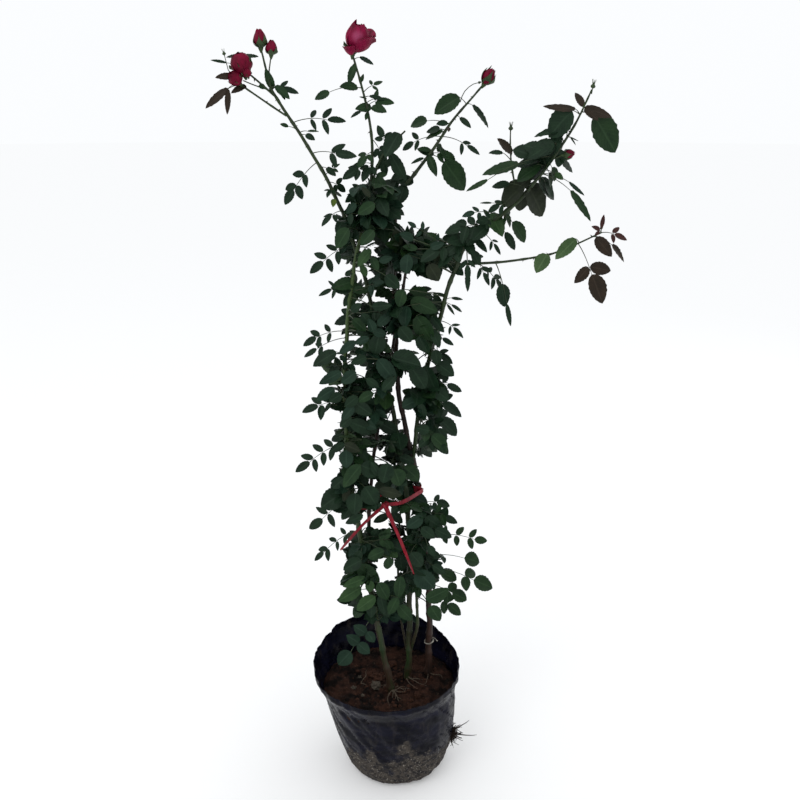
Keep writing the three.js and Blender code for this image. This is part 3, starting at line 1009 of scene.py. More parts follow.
COLUMN_LEAVES = 600
LEAF_SIZES = (  # z, leaflet length left and right, width share: the leaves change with height
    (1229, 28, 32, 0.60), (1110, 29, 42, 0.60), (950, 28, 46, 0.58), (830, 28, 38, 0.62),
    (720, 30, 32, 0.68), (600, 27, 25, 0.74), (480, 26, 25, 0.74), (337, 30, 26, 0.70),
)
FRONT_REACH, BACK_REACH = 52, 82  # mm in front of and behind the canes
COLUMN_ROUNDNESS = 0.75
OUTLINE = (  # z, left x, right x in mm: the edges of the column, seen from the front
    (1229, -82, 4), (1216, -78, 8), (1199, -93, 2), (1181, -99, 0), (1167, -104, 0),
    (1153, -107, 8), (1142, -110, 33), (1131, -111, 110), (1117, -111, 121), (1098, -108, 118),
    (1084, -93, 92), (1069, -86, 87), (1056, -94, 83), (1045, -113, 60), (1018, -95, 63),
    (1005, -95, 77), (992, -108, 84), (965, -103, 88), (938, -98, 87), (921, -113, 85),
    (897, -122, 84), (883, -137, 103), (855, -142, 92), (841, -148, 98), (821, -146, 96),
    (805, -120, 81), (793, -107, 91), (760, -113, 93), (739, -121, 100), (722, -126, 98),
    (705, -114, 47), (676, -115, 43), (646, -123, 47), (624, -132, 50), (607, -132, 68),
    (589, -117, 104), (567, -101, 102), (554, -81, 88), (536, -106, 103), (505, -112, 103),
    (484, -101, 102), (448, -113, 96), (422, -118, 86), (404, -121, 109), (385, -117, 109),
    (371, -84, 103), (352, -76, 100), (337, -59, 83),
)
GAPS = (  # x, z, half width, half height in mm: open between the leaves, seen from the front
    (-10, 1132, 5, 5), (-37, 1099, 4, 10), (-57, 1067, 7, 11), (19, 1053, 11, 20),
    (-29, 1016, 22, 8), (-9, 933, 7, 22), (15, 938, 11, 16), (42, 913, 13, 25),
    (-69, 881, 14, 14), (-11, 836, 12, 9), (25, 856, 15, 15), (-6, 813, 8, 16),
    (29, 771, 14, 40), (-55, 785, 7, 7), (-36, 756, 9, 10), (-39, 717, 8, 9),
    (-37, 698, 19, 14), (-46, 652, 12, 13), (-81, 631, 9, 11), (-37, 564, 24, 21),
    (21, 573, 13, 12), (-68, 547, 7, 11), (82, 517, 15, 15), (-22, 451, 21, 24),
    (-61, 407, 10, 17), (59, 382, 8, 31), (33, 373, 10, 21), (75, 1060, 12, 13),
)
OPEN_LINES = (  # ends (x, z) and half width in mm: no leaf hangs in front of these
    ((-6, 841), (21, 697), 11), ((21, 697), (36, 640), 12), ((-24, 600), (40, 640), 9),
    ((-24, 600), (-114, 502), 11), ((-24, 600), (36, 445), 11), ((40, 628), (40, 650), 14),
    ((-71, 1113), (-81, 1054), 6), ((-81, 1054), (-94, 946), 6),
)
COLUMN_TINTS = ("deep",) * 10 + ("blue",) * 5 + ("mid",) * 4 + ("bright",)
OUTLINE_LEVELS, OUTLINE_LEFT, OUTLINE_RIGHT = zip(*reversed(OUTLINE))
SIZE_LEVELS, SIZES_LEFT, SIZES_RIGHT, WIDTHS = zip(*reversed(LEAF_SIZES))
LEAF_EDGE, GAP_EDGE = 5, 1  # mm kept free inside the outline and round the gaps
THIN_ABOVE, THINNED = 1140, 0.5  # mm, and the share of the leaves left out above it
FARTHEST_LIMB = 75 * MM
TWIG_REACH = 9 * MM
FRONT_OF_TAPE = 20 * MM
LEAFLET_COUNTS = (3, 5, 5, 5, 7)
EYE = Vector(CAMERA_PLACE)

limb_points = np.concatenate([line for line, _ in spines.values()])
chance = np.random.default_rng(17)


def limb_foot(place, below=16 * MM):
    """A point on one of the canes or boughs near place, for a leaf there to grow from."""
    away = limb_points - np.array(place)
    rise = limb_points[:, 2] - (place.z - below)
    cost = away[:, 0] ** 2 + away[:, 1] ** 2 + (1.1 * rise) ** 2
    cost = cost + chance.uniform(0, (32 * MM) ** 2, len(cost))
    return Vector(limb_points[int(np.argmin(cost))])


def seen_at(place):
    """x and z in mm where the front line of sight to place crosses the plane of the canes."""
    crossing = EYE + (place - EYE) * (-EYE.y / (place.y - EYE.y))
    return crossing.x / MM, crossing.z / MM


def set_back(place, depth):
    """place moved back by depth along its front line of sight, so it shows where it was."""
    return EYE + (place - EYE) * (1 + depth / (place.y - EYE.y))


def off_line(x, z, start, end):
    """How far (x, z) is from the line from start to end."""
    run = Vector(end) - Vector(start)
    share = (Vector((x, z)) - Vector(start)).dot(run) / run.length_squared
    return (Vector(start) + run * min(max(share, 0), 1) - Vector((x, z))).length


def edges_at(z):
    """The left and the right edge of the column at a height, in mm."""
    return [np.interp(z, OUTLINE_LEVELS, edge) for edge in (OUTLINE_LEFT, OUTLINE_RIGHT)]


def may_cover(place):
    """False where the column is open, beyond its edge, or in front of a cane or the tape."""
    x, z = seen_at(place)
    if not OUTLINE_LEVELS[0] < z < OUTLINE_LEVELS[-1]:
        return False
    left, right = edges_at(z)
    in_gap = any(
        abs(x - gap_x) < wide + GAP_EDGE and abs(z - gap_z) < high + GAP_EDGE
        for gap_x, gap_z, wide, high in GAPS
    )
    if in_gap or not left + LEAF_EDGE < x < right - LEAF_EDGE:
        return False
    behind = place.y > FRONT_OF_TAPE
    return behind or all(off_line(x, z, start, end) > reach for start, end, reach in OPEN_LINES)


dice = random.Random(2024)
placed = 0
while placed < COLUMN_LEAVES:
    z = dice.uniform(OUTLINE_LEVELS[0], OUTLINE_LEVELS[-1])
    left, right = edges_at(z)
    across = dice.uniform(-1, 1)
    x = (left + right) / 2 + across * (right - left) / 2
    roundness = math.sqrt(1 - COLUMN_ROUNDNESS * across**2)
    depth = dice.choice((-FRONT_REACH, BACK_REACH)) * math.sqrt(dice.random()) * roundness
    heart = set_back(Vector((x, 0, z)) * MM, depth * MM)
    if not may_cover(heart) or (z > THIN_ABOVE and dice.random() < THINNED):
        continue
    limb = limb_foot(heart, 4 * MM)
    if (limb - heart).length > FARTHEST_LIMB:
        continue
    outward = (heart - limb) * Vector((1, 1, 0))
    outward = outward + level_way(dice.uniform(0, math.tau)) * 12 * MM
    way = outward.normalized() + UP * dice.uniform(-0.55, 0.5)
    way = way.normalized()
    size = np.interp(z, SIZE_LEVELS, SIZES_LEFT if across < 0.1 else SIZES_RIGHT)
    length = float(size) * dice.uniform(0.72, 1.2) * MM
    foot, tip = heart - way * 1.25 * length, heart + way * 1.15 * length
    front = Vector((0, -1 if outward.y < 0.4 * outward.length else 1, 0))
    stray = Vector((dice.gauss(0, 1), dice.gauss(0, 1), dice.gauss(0, 1))) * 0.3
    face = outward.normalized() * 0.5 + front * 0.8 + UP * dice.uniform(0.05, 0.9) + stray
    wide = float(np.interp(z, SIZE_LEVELS, WIDTHS)) * dice.uniform(0.85, 1.18)
    count, tint = dice.choice(LEAFLET_COUNTS), dice.choice(COLUMN_TINTS)
    if not all(may_cover(limb.lerp(foot, share)) for share in (0.4, 0.6, 0.8)):
        continue
    if add_leaf(foot, tip, count, length, wide, tint, face, dice, keep=may_cover) == 0:
        continue
    placed += 1
    if (foot - limb).length > TWIG_REACH:
        sag = UP * dice.uniform(-0.1, 0.15) * (foot - limb).length
        add_stalk(arc(limb, foot, sag), 1.2 * MM, 0.9 * MM)

# The leaflets at the very front of the column are set one by one, ahead of the others.
FRONT_LEAVES = (  # base x, z and tip x, z in mm, width share, tint
    (36, 1111, 9, 1083, 0.75, "blue"), (61, 1122, 85, 1130, 0.60, "blue"),
    (57, 1116, 89, 1102, 0.70, "olive"), (38, 1120, 13, 1125, 0.50, "mid"),
    (54, 1095, 38, 1116, 0.62, "deep"), (93, 1097, 120, 1074, 0.60, "deep"),
    (74, 1136, 55, 1148, 0.60, "mid"), (31, 1136, 8, 1148, 0.60, "blue"),
    (-69, 1111, -52, 1096, 0.70, "mid"), (22, 1110, 18, 1076, 0.76, "blue"),
    (-42, 1105, -31, 1082, 0.60, "mid"), (-29, 1098, -6, 1105, 0.60, "blue"),
    (59, 1093, 77, 1063, 0.80, "olive"), (-61, 1091, -52, 1071, 0.60, "bright"),
    (-18, 1073, 7, 1050, 0.70, "deep"), (-90, 1073, -74, 1082, 0.60, "deep"),
    (-78, 1050, -115, 1051, 0.65, "deep"), (15, 1048, 5, 1017, 0.74, "mid"),
    (-77, 1048, -49, 1045, 0.55, "mid"), (57, 1042, 24, 1046, 0.60, "mid"),
    (-81, 1040, -93, 1017, 0.55, "deep"), (27, 1030, 75, 1006, 0.58, "mid"),
    (20, 1018, 16, 978, 0.78, "blue"), (-43, 1017, -8, 1019, 0.50, "deep"),
    (80, 1011, 69, 1041, 0.50, "deep"), (-80, 1008, -62, 1022, 0.70, "deep"),
    (-62, 1004, -44, 982, 0.60, "deep"), (37, 1000, 66, 954, 0.66, "mid"),
    (65, 999, 87, 968, 0.45, "deep"), (-87, 986, -56, 977, 0.60, "bright"),
    (-33, 982, -7, 1004, 0.55, "blue"), (7, 979, 29, 951, 0.75, "deep"),
    (65, 975, 81, 941, 0.50, "deep"), (-42, 971, -16, 965, 0.60, "blue"),
    (-40, 970, -49, 994, 0.70, "blue"), (-30, 966, -38, 925, 0.75, "deep"),
    (42, 962, 59, 927, 0.60, "deep"), (-48, 959, -76, 948, 0.50, "blue"),
    (-72, 952, -105, 930, 0.45, "blue"), (72, 937, 77, 907, 0.70, "deep"),
    (-54, 923, -82, 911, 0.60, "deep"), (-8, 922, 45, 907, 0.78, "deep"),
    (-33, 919, 0, 876, 0.55, "blue"), (75, 911, 108, 888, 0.70, "deep"),
    (54, 908, 76, 849, 0.62, "deep"), (28, 905, 55, 863, 0.70, "deep"),
    (-100, 895, -141, 872, 0.42, "blue"), (-73, 894, -101, 873, 0.70, "blue"),
    (82, 894, 94, 879, 0.80, "deep"), (-2, 884, -26, 859, 0.60, "deep"),
    (-54, 882, -31, 864, 0.55, "deep"), (-113, 863, -148, 840, 0.55, "blue"),
    (71, 862, 97, 840, 0.75, "deep"), (-41, 854, -72, 838, 0.55, "mid"),
    (-101, 852, -123, 837, 0.80, "deep"), (-71, 847, -95, 827, 0.70, "deep"),
    (-45, 838, -9, 828, 0.74, "blue"), (-78, 837, -45, 809, 0.70, "deep"),
    (47, 835, 52, 798, 0.55, "deep"), (-78, 828, -100, 802, 0.60, "blue"),
    (12, 826, 43, 843, 0.66, "blue"), (-83, 806, -106, 786, 0.60, "deep"),
    (-86, 798, -45, 779, 0.60, "deep"), (-31, 797, 6, 774, 0.60, "deep"),
    (63, 780, 38, 785, 0.75, "deep"), (-3, 774, -5, 738, 0.90, "blue"),
    (67, 771, 99, 741, 0.66, "mid"), (62, 764, 42, 747, 0.60, "deep"),
    (-97, 755, -126, 736, 0.50, "deep"), (-97, 752, -68, 739, 0.60, "olive"),
    (-94, 741, -95, 704, 0.80, "blue"), (7, 728, 36, 715, 0.60, "deep"),
    (-15, 715, -25, 672, 0.75, "deep"), (-67, 710, -28, 694, 0.80, "deep"),
    (-67, 710, -101, 666, 0.60, "mid"), (15, 708, 45, 679, 0.75, "mid"),
    (-3, 702, 9, 667, 0.90, "mid"), (-32, 689, -47, 715, 0.50, "deep"),
    (-99, 683, -121, 663, 0.70, "deep"), (-60, 666, -38, 627, 0.85, "deep"),
    (-91, 662, -101, 636, 0.60, "olive"), (-33, 661, 12, 646, 0.50, "olive"),
    (-77, 653, -82, 606, 0.75, "deep"), (-104, 638, -82, 646, 0.60, "deep"),
    (26, 636, 44, 614, 0.70, "deep"), (-13, 630, 17, 622, 0.50, "deep"),
    (66, 625, 31, 611, 0.70, "mid"), (-48, 619, -28, 630, 0.60, "deep"),
    (-8, 614, 12, 587, 0.60, "deep"), (-13, 607, -45, 591, 0.45, "deep"),
    (-64, 606, -98, 588, 0.45, "deep"), (51, 603, 21, 579, 0.70, "blue"),
    (57, 603, 86, 579, 0.70, "deep"), (49, 579, 76, 557, 0.70, "deep"),
    (-59, 579, -38, 566, 0.60, "deep"), (76, 576, 109, 558, 0.60, "deep"),
    (-16, 575, -44, 557, 0.55, "deep"), (-23, 551, -59, 551, 0.60, "deep"),
    (-22, 540, 9, 515, 0.65, "deep"), (62, 540, 77, 518, 0.70, "deep"),
    (-71, 540, -48, 548, 0.60, "deep"), (-23, 529, -57, 514, 0.60, "mid"),
    (-68, 529, -84, 504, 0.60, "deep"), (29, 526, 52, 495, 0.70, "deep"),
    (7, 521, 12, 484, 0.70, "deep"), (-16, 515, -16, 489, 0.85, "mid"),
    (-68, 509, -104, 488, 0.70, "deep"), (72, 498, 98, 479, 0.60, "deep"),
    (-78, 497, -33, 461, 0.55, "mid"), (32, 493, 60, 476, 0.60, "deep"),
    (42, 487, 75, 446, 0.85, "blue"), (9, 474, 4, 424, 0.50, "mid"),
    (12, 473, 46, 441, 0.70, "blue"), (-59, 470, -106, 450, 0.42, "bright"),
    (-52, 464, -53, 437, 0.80, "bright"), (-36, 459, -16, 421, 0.70, "mid"),
    (-69, 449, -116, 418, 0.50, "bright"), (-32, 433, -22, 386, 0.50, "deep"),
    (-41, 427, -80, 397, 0.60, "bright"), (3, 426, -16, 386, 0.55, "mid"),
    (60, 421, 105, 443, 0.60, "mid"), (-50, 411, -50, 380, 0.70, "deep"),
    (5, 408, 32, 372, 0.62, "mid"), (68, 407, 88, 373, 0.80, "mid"),
    (-36, 1198, -65, 1181, 0.66, "mid"), (-82, 1156, -104, 1122, 0.72, "mid"),
    (-38, 1152, -61, 1127, 0.66, "mid"), (-43, 1118, -68, 1090, 0.62, "bright"),
    (-44, 1211, -58, 1226, 0.60, "olive"), (-3, 1153, 11, 1127, 0.62, "olive"),
    (-77, 994, -54, 972, 0.62, "mid"), (-72, 972, -41, 964, 0.55, "deep"),
    (-76, 1181, -81, 1162, 0.60, "deep"), (-69, 1199, -86, 1181, 0.60, "blue"),
)
FRONT_PLANE = -60  # mm: the plane in which the rows above are given
EDGE_NEARNESS, MIDDLE_NEARNESS = 22, 58  # mm in front of the canes, and how much more
BEHIND_TAPE = 16  # mm in front of the canes, for the leaflets that the tape crosses
for base_x, base_z, tip_x, tip_z, wide, tint in FRONT_LEAVES:
    left, right = edges_at(base_z)
    across = (2 * base_x - left - right) / (right - left)
    bulge = math.sqrt(max(0, 1 - across**2))
    near = EDGE_NEARNESS + MIDDLE_NEARNESS * bulge * dice.uniform(0.8, 1.1)
    ends = ((base_x, base_z), ((base_x + tip_x) / 2, (base_z + tip_z) / 2), (tip_x, tip_z))
    if any(off_line(*end, *line) < reach for end in ends for *line, reach in OPEN_LINES):
        near = BEHIND_TAPE
    shift = (-near - FRONT_PLANE) * MM
    base = set_back(Vector((base_x, FRONT_PLANE, base_z)) * MM, shift)
    tip = set_back(Vector((tip_x, FRONT_PLANE, tip_z)) * MM, shift + dice.uniform(-9, 6) * MM)
    limb = limb_foot(base, 8 * MM)
    add_stalk(arc(limb, base, UP * dice.uniform(2, 10) * MM), 1.3 * MM, 0.8 * MM)
    face = Vector((dice.gauss(0, 0.3), -1, dice.uniform(0.1, 0.8)))
    add_leaflet(base, tip - base, face, (tip - base).length * 1.04, wide, tint, dice)


# --- Leaves of the boughs and the column's loose sprays -----------------------------------
# Where the bush is open, each leaf is listed one by one: the limb it grows from, how high on it
# (how far along for the low bough), where its tip hangs, and its own size, shape and tint.

SPRAYS = (  # limb, then for each leaf: foot, (tip x, tip z, how much nearer), leaflets,
    # length, tint and width share
    ("stem_top", (
        (1389, (-143, 1371), 1, 26, "mid", 0.55), (1382, (-22, 1401), 3, 18, "mid", 0.5),
        (1374, (-17, 1371), 1, 26, "deep", 0.3), (1359, (-1, 1365), 3, 28, "mid", 0.45),
        (1254, (-96, 1235), 3, 26, "deep", 0.6), (1261, (-78, 1258), 1, 22, "mid", 0.4),
    )),
    ("stalk_bud_left", (
        (1394, (-220, 1420), 1, 34, "mid", 0.4),
    )),
    ("bough_left", (
        (1388, (-180, 1372), 1, 30, "mid", 0.45), (1388, (-164, 1380), 3, 26, "deep", 0.4),
    )),
    ("stalk_side_left", (
        (1397, (-303, 1407), 1, 30, "bronze", 0.45),
    )),
    ("stalk_bloom_left", (
        (1414, (-310, 1433), 1, 24, "deep", 0.2),
    )),
    ("bough_left", (
        (1332, (-84, 1336), 5, 30, "deep", 0.4), (1319, (-201, 1330), 1, 14, "mid", 0.5),
        (1315, (-134, 1318), 1, 22, "mid", 0.25), (1311, (-141, 1303), 1, 18, "deep", 0.6),
        (1280, (-68, 1275), 3, 34, "deep", 0.45), (1241, (-99, 1263), 5, 12, "mid", 0.5),
        (1265, (-201, 1190), 5, 28, "deep", 0.6), (1215, (-124, 1202), 3, 16, "deep", 0.6),
        (1210, (-97, 1205), 1, 18, "deep", 0.6), (1204, (-114, 1186), 1, 16, "lime", 0.6),
        (1178, (-137, 1151), 3, 24, "deep", 0.45),
    )),
    ("cane_left", (
        (1205, (-82, 1221), 1, 32, "deep", 0.45),
    )),
    ("shoot_centre", (
        (1286, (-32, 1328), 3, 20, "deep", 0.6), (1282, (20, 1232), 1, 50, "deep", 0.4),
        (1270, (-17, 1241), 3, 22, "deep", 0.6),
    )),
    ("bough_bud", (
        (1363, (67, 1348), 1, 48, "mid", 0.62), (1344, (123, 1334), 1, 26, "deep", 0.4),
        (1363, (174, 1322), 1, 50, "deep", 0.28), (1328, (24, 1327), 1, 30, "mid", 0.88),
        (1307, (10, 1283), 3, 24, "deep", 0.5), (1307, (154, 1275), 3, 26, "deep", 0.4),
        (1276, (39, 1285), 1, 28, "deep", 0.5), (1271, (76, 1236), 1, 34, "deep", 0.4),
        (1276, (131, 1209), 1, 62, "mid", 0.64), (1276, (108, 1269), 3, 28, "mid", 0.6),
        (1266, (28, 1261), 1, 26, "deep", 0.25), (1226, (0, 1231), 1, 30, "deep", 0.7),
    )),
    ("shoot_right_inner", (
        (1278, (167, 1309), 1, 32, "bronze", 0.5), (1274, (154, 1287), 1, 24, "deep", 0.4),
    )),
    ("bough_right", (
        (1283, (112, 1229, -22), 1, 36, "mid", 0.24),
        (1346, (233, 1312, -22), 1, 50, "deep", 0.75),
        (1346, (226, 1359, -22), 1, 46, "bronze", 0.25),
        (1310, (214, 1316, -22), 1, 50, "deep", 0.25),
        (1350, (335, 1343), 3, 40, "bronze", 0.45),
        (1350, (345, 1289, -22), 1, 64, "mid", 0.62), (1294, (206, 1281), 3, 44, "deep", 0.6),
        (1266, (192, 1269), 3, 42, "deep", 0.6), (1261, (218, 1245, -22), 1, 40, "deep", 0.6),
        (1283, (238, 1293, -22), 1, 40, "deep", 0.8),
        (1244, (263, 1213, -22), 1, 46, "deep", 0.6), (1205, (153, 1190), 3, 22, "deep", 0.5),
        (1162, (82, 1153), 5, 32, "deep", 0.6),
    )),
    ("bough_low_right", (
        (266, (246, 1081), 1, 34, "pale", 0.75), (316, (276, 1107), 1, 44, "pale", 0.5),
        (333, (373, 1112), 1, 38, "bronze", 0.55), (339, (396, 1103), 1, 38, "bronze", 0.4),
        (350, (334, 1165), 3, 16, "red", 0.5), (350, (353, 1185), 1, 20, "red", 0.35),
        (350, (397, 1142), 3, 22, "red", 0.5), (314, (365, 1028), 3, 50, "bronze", 0.6),
        (176, (196, 1016), 1, 40, "deep", 0.62), (176, (208, 979), 1, 40, "deep", 0.22),
        (145, (192, 1047), 5, 22, "deep", 0.5),
    )),
    ("bough_right", (
        (1261, (187, 1295, -22), 1, 30, "deep", 0.8),
        (1278, (203, 1300, -22), 1, 30, "deep", 0.7),
        (1283, (226, 1262, -22), 1, 36, "deep", 0.6),
        (1303, (230, 1281, -22), 1, 42, "deep", 0.62),
        (1266, (193, 1244, -22), 1, 44, "mid", 0.62),
        (1266, (138, 1255, -22), 1, 56, "mid", 0.4),
        (1244, (191, 1229, -22), 1, 34, "olive", 0.6),
        (1228, (157, 1233, -22), 1, 28, "deep", 0.45),
        (1228, (171, 1202, -22), 1, 52, "olive", 0.72),
        (1224, (249, 1184, -22), 1, 60, "olive", 0.72),
        (1219, (207, 1192, -22), 1, 30, "olive", 0.8),
        (1250, (258, 1216, -22), 1, 30, "deep", 0.5),
        (1272, (259, 1243, -22), 1, 26, "mid", 0.6),
        (1266, (253, 1233, -22), 1, 26, "mid", 0.6),
        (1170, (184, 1149, 30), 1, 46, "bright", 0.6), (1186, (224, 1137), 1, 40, "mid", 0.6),
        (1170, (208, 1122), 1, 34, "deep", 0.42), (1154, (183, 1113), 3, 20, "deep", 0.4),
        (1154, (161, 1170), 3, 22, "deep", 0.6), (1166, (132, 1140), 1, 34, "deep", 0.6),
        (1154, (122, 1129), 1, 36, "deep", 0.62), (1136, (96, 1141), 3, 24, "deep", 0.55),
        (1143, (115, 1162), 1, 24, "deep", 0.55), (1132, (138, 1109), 1, 32, "deep", 0.55),
        (1132, (149, 1092), 1, 26, "deep", 0.6), (1132, (167, 1056), 5, 24, "deep", 0.4),
        (1132, (128, 1063), 3, 26, "deep", 0.4), (1132, (128, 1045), 1, 34, "deep", 0.3),
        (1186, (198, 1162), 3, 28, "mid", 0.5), (1173, (137, 1171), 3, 24, "deep", 0.6),
        (1140, (161, 1117), 1, 30, "deep", 0.4), (1132, (85, 1109, 14), 3, 28, "deep", 0.6),
        (1132, (75, 1088, 14), 3, 34, "deep", 0.6), (1132, (92, 1134, 30), 1, 40, "deep", 0.6),
    )),
    ("bough_bud", (
        (1276, (39, 1287), 1, 24, "mid", 0.4), (1271, (74, 1238, 24), 1, 36, "mid", 0.42),
        (1286, (101, 1266), 1, 28, "mid", 0.6), (1296, (108, 1253), 1, 30, "mid", 0.6),
        (1307, (51, 1304), 1, 34, "mid", 0.45), (1317, (55, 1315), 1, 24, "deep", 0.75),
        (1328, (73, 1329), 1, 20, "deep", 0.6), (1323, (96, 1317), 1, 16, "bronze", 0.5),
        (1220, (-24, 1213), 3, 26, "deep", 0.7), (1223, (4, 1186), 1, 34, "deep", 0.7),
        (1235, (-9, 1231), 3, 24, "deep", 0.65),
    )),
    ("shoot_centre", (
        (1308, (-20, 1276), 1, 46, "deep", 0.62), (1290, (2, 1243), 3, 26, "deep", 0.6),
    )),
    ("stem_top", (
        (1282, (-67, 1254), 3, 24, "mid", 0.6), (1304, (-17, 1259), 3, 24, "deep", 0.6),
        (1261, (-60, 1230), 3, 26, "deep", 0.6), (1240, (-17, 1216), 3, 26, "mid", 0.6),
    )),
    ("bough_left", (
        (1230, (-89, 1212), 3, 20, "deep", 0.6), (1256, (-106, 1241), 1, 20, "deep", 0.6),
    )),
    ("cane_left", (
        (630, (-40, 606, 60), 1, 40, "deep", 0.78), (628, (-84, 594, 44), 1, 34, "mid", 0.7),
        (640, (-58, 640, 52), 1, 36, "deep", 0.7),
    )),
    ("cane_middle", (
        (800, (10, 706, 84), 1, 34, "deep", 0.95), (860, (-20, 792, 80), 1, 34, "bright", 0.9),
    )),
    ("cane_left", (
        (720, (-96, 660, 40), 1, 32, "mid", 0.62),
    )),
    ("cane_middle", (
        (1117, (-162, 1062), 5, 30, "deep", 0.5),
    )),
    ("cane_left", (
        (1046, (-143, 1027), 3, 24, "deep", 0.35), (1046, (-119, 1043), 1, 42, "mid", 0.55),
        (961, (-174, 933), 5, 28, "deep", 0.5), (949, (-174, 912), 3, 28, "deep", 0.45),
        (914, (-158, 895), 1, 46, "deep", 0.55), (824, (-181, 805), 5, 30, "deep", 0.5),
        (742, (-197, 682), 7, 30, "deep", 0.5), (754, (-125, 746), 1, 30, "deep", 0.5),
        (645, (-150, 606), 1, 48, "deep", 0.85), (624, (-175, 559), 3, 36, "deep", 0.5),
        (559, (-165, 491), 7, 24, "deep", 0.5),
    )),
    ("cane_side", (
        (1024, (122, 1026), 1, 20, "deep", 0.3), (1019, (123, 1001), 1, 26, "deep", 0.25),
        (1019, (108, 996), 1, 22, "deep", 0.25), (1030, (69, 1039), 1, 18, "deep", 0.3),
        (983, (126, 950), 3, 24, "deep", 0.35), (946, (109, 934), 1, 22, "deep", 0.5),
        (925, (108, 896), 3, 26, "deep", 0.5), (855, (129, 838), 3, 30, "deep", 0.5),
        (826, (130, 784), 3, 42, "deep", 0.5), (806, (122, 743), 3, 50, "deep", 0.55),
        (754, (105, 701), 3, 38, "deep", 0.6),
    )),
    ("cane_brown", (
        (589, (110, 583), 3, 28, "deep", 0.6), (572, (127, 545), 3, 28, "deep", 0.55),
        (514, (190, 505), 7, 26, "mid", 0.6), (472, (176, 457), 1, 32, "mid", 0.95),
        (445, (203, 396), 3, 40, "mid", 0.8), (432, (129, 415), 1, 42, "mid", 0.6),
        (406, (151, 368), 3, 32, "mid", 0.8), (393, (139, 330), 3, 34, "mid", 0.6),
    )),
    ("cane_left", (
        (427, (-118, 404), 3, 38, "mid", 0.6), (452, (-114, 438), 3, 34, "mid", 0.6),
        (401, (-91, 362), 1, 40, "mid", 0.6),
    )),
    ("stem_top", (
        (1436, (-36, 1429, -6), 1, 25, "blue", 0.42),
        (1425, (-83, 1395, 8), 1, 32, "mid", 0.42), (1393, (-56, 1413, 2), 1, 12, "mid", 0.5),
        (1389, (-79, 1391, 10), 1, 30, "mid", 0.62), (1364, (-17, 1371, 0), 1, 18, "deep", 0.2),
        (1370, (-64, 1375, 0), 1, 12, "deep", 0.3), (1354, (-71, 1355, 12), 1, 28, "mid", 0.55),
        (1348, (-15, 1350, 10), 1, 26, "mid", 0.62),
        (1348, (-80, 1340, -8), 1, 20, "deep", 0.42),
        (1348, (-53, 1336, 10), 1, 14, "mid", 0.5),
    )),
    ("stalk_side_left", (
        (1396, (-325, 1356, 4), 1, 46, "bronze", 0.3),
        (1387, (-279, 1380, 6), 1, 25, "bronze", 0.55),
    )),
    ("stalk_bloom_left", (
        (1389, (-233, 1391, 6), 1, 11, "mid", 0.85),
    )),
    ("bough_right", (
        (1255, (324, 1179), 1, 54, "mid", 0.27), (1255, (309, 1220, -10), 1, 32, "blue", 0.2),
        (1261, (272, 1246, 6), 1, 15, "bright", 0.75),
        (1283, (288, 1259, -16), 1, 36, "deep", 0.5),
        (1303, (258, 1266, -22), 1, 28, "deep", 0.55),
        (1313, (288, 1307, 0), 1, 14, "deep", 0.2), (1313, (284, 1301, 6), 1, 13, "deep", 0.25),
        (1182, (112, 1182, 10), 3, 20, "blue", 0.5),
        (1196, (141, 1205, 0), 1, 18, "deep", 0.22), (1132, (43, 1099, 14), 3, 34, "deep", 0.6),
        (1140, (116, 1163, 6), 1, 18, "mid", 0.45),
    )),
    ("bough_low_right", (
        (43, (21, 1168, 0), 5, 16, "blue", 0.5),
    )),
)


def limb_point(node, place):
    """The point of a limb at a height, or at an x for the bough that runs sideways."""
    line, _ = spines[node]
    axis = 0 if node == "bough_low_right" else 2
    ordered = line[np.argsort(line[:, axis])]
    return Vector(place_at(ordered, ordered[:, axis], place * MM))


NEARER_BY = (-28, 24)  # mm, where a row doesn't say
dice = random.Random(88)
for node, rows in SPRAYS:
    for place, (tip_x, tip_z, *nearer), count, size, tint, wide in rows:
        foot = limb_point(node, place)
        depth = -nearer[0] if nearer else dice.uniform(*NEARER_BY)
        tip = set_back(Vector((tip_x * MM, foot.y, tip_z * MM)), depth * MM)
        face = Vector((0, -1, 0)) + UP * dice.uniform(0.3, 1.0)
        face = face + Vector((dice.uniform(-0.4, 0.4), 0, 0))
        add_leaf(foot, tip, count, size * MM, wide, tint, face, dice)

# The lowest leaf of the left cane hangs out over the soil on a stalk of its own.
LOW_LEAF = (  # base x, z and tip x, z in mm, width share: the end leaflet first
    (-94, 289, -121, 260, 0.86), (-77, 310, -101, 332, 0.75), (-79, 308, -54, 289, 0.8),
    (-62, 332, -86, 355, 0.75), (-60, 336, -44, 315, 0.8),
)
LOW_FOOT, LOW_END = 376, (-94, -44, 289)
LOW_BASE_Y, LOW_TIP_Y = -42, -50
low_stalk = arc(limb_point("cane_left", LOW_FOOT), Vector(LOW_END) * MM, UP * 6 * MM)
add_stalk(low_stalk, 1.1 * MM, 0.7 * MM)
for base_x, base_z, tip_x, tip_z, wide in LOW_LEAF:
    base = Vector((base_x, LOW_BASE_Y, base_z)) * MM
    tip = Vector((tip_x, LOW_TIP_Y, tip_z)) * MM
    add_leaflet(base, tip - base, Vector((0, -1, 0.5)), (tip - base).length, wide, "blue", dice)

# The drooping leaf at the far left has a second leaflet that hangs from the same spot.
FORK, FORK_TIP, FORK_FOOT = (-282, -46, 1387), (-285, -50, 1345), 1394
fork, run = Vector(FORK) * MM, Vector(FORK_TIP) * MM - Vector(FORK) * MM
add_leaflet(fork, run, Vector((0.3, -1, 0.1)), run.length, 0.26, "bronze", dice)
fork_stalk = arc(limb_point("stalk_side_left", FORK_FOOT), fork, UP * 2 * MM)
add_stalk(fork_stalk, 0.9 * MM, 0.6 * MM)


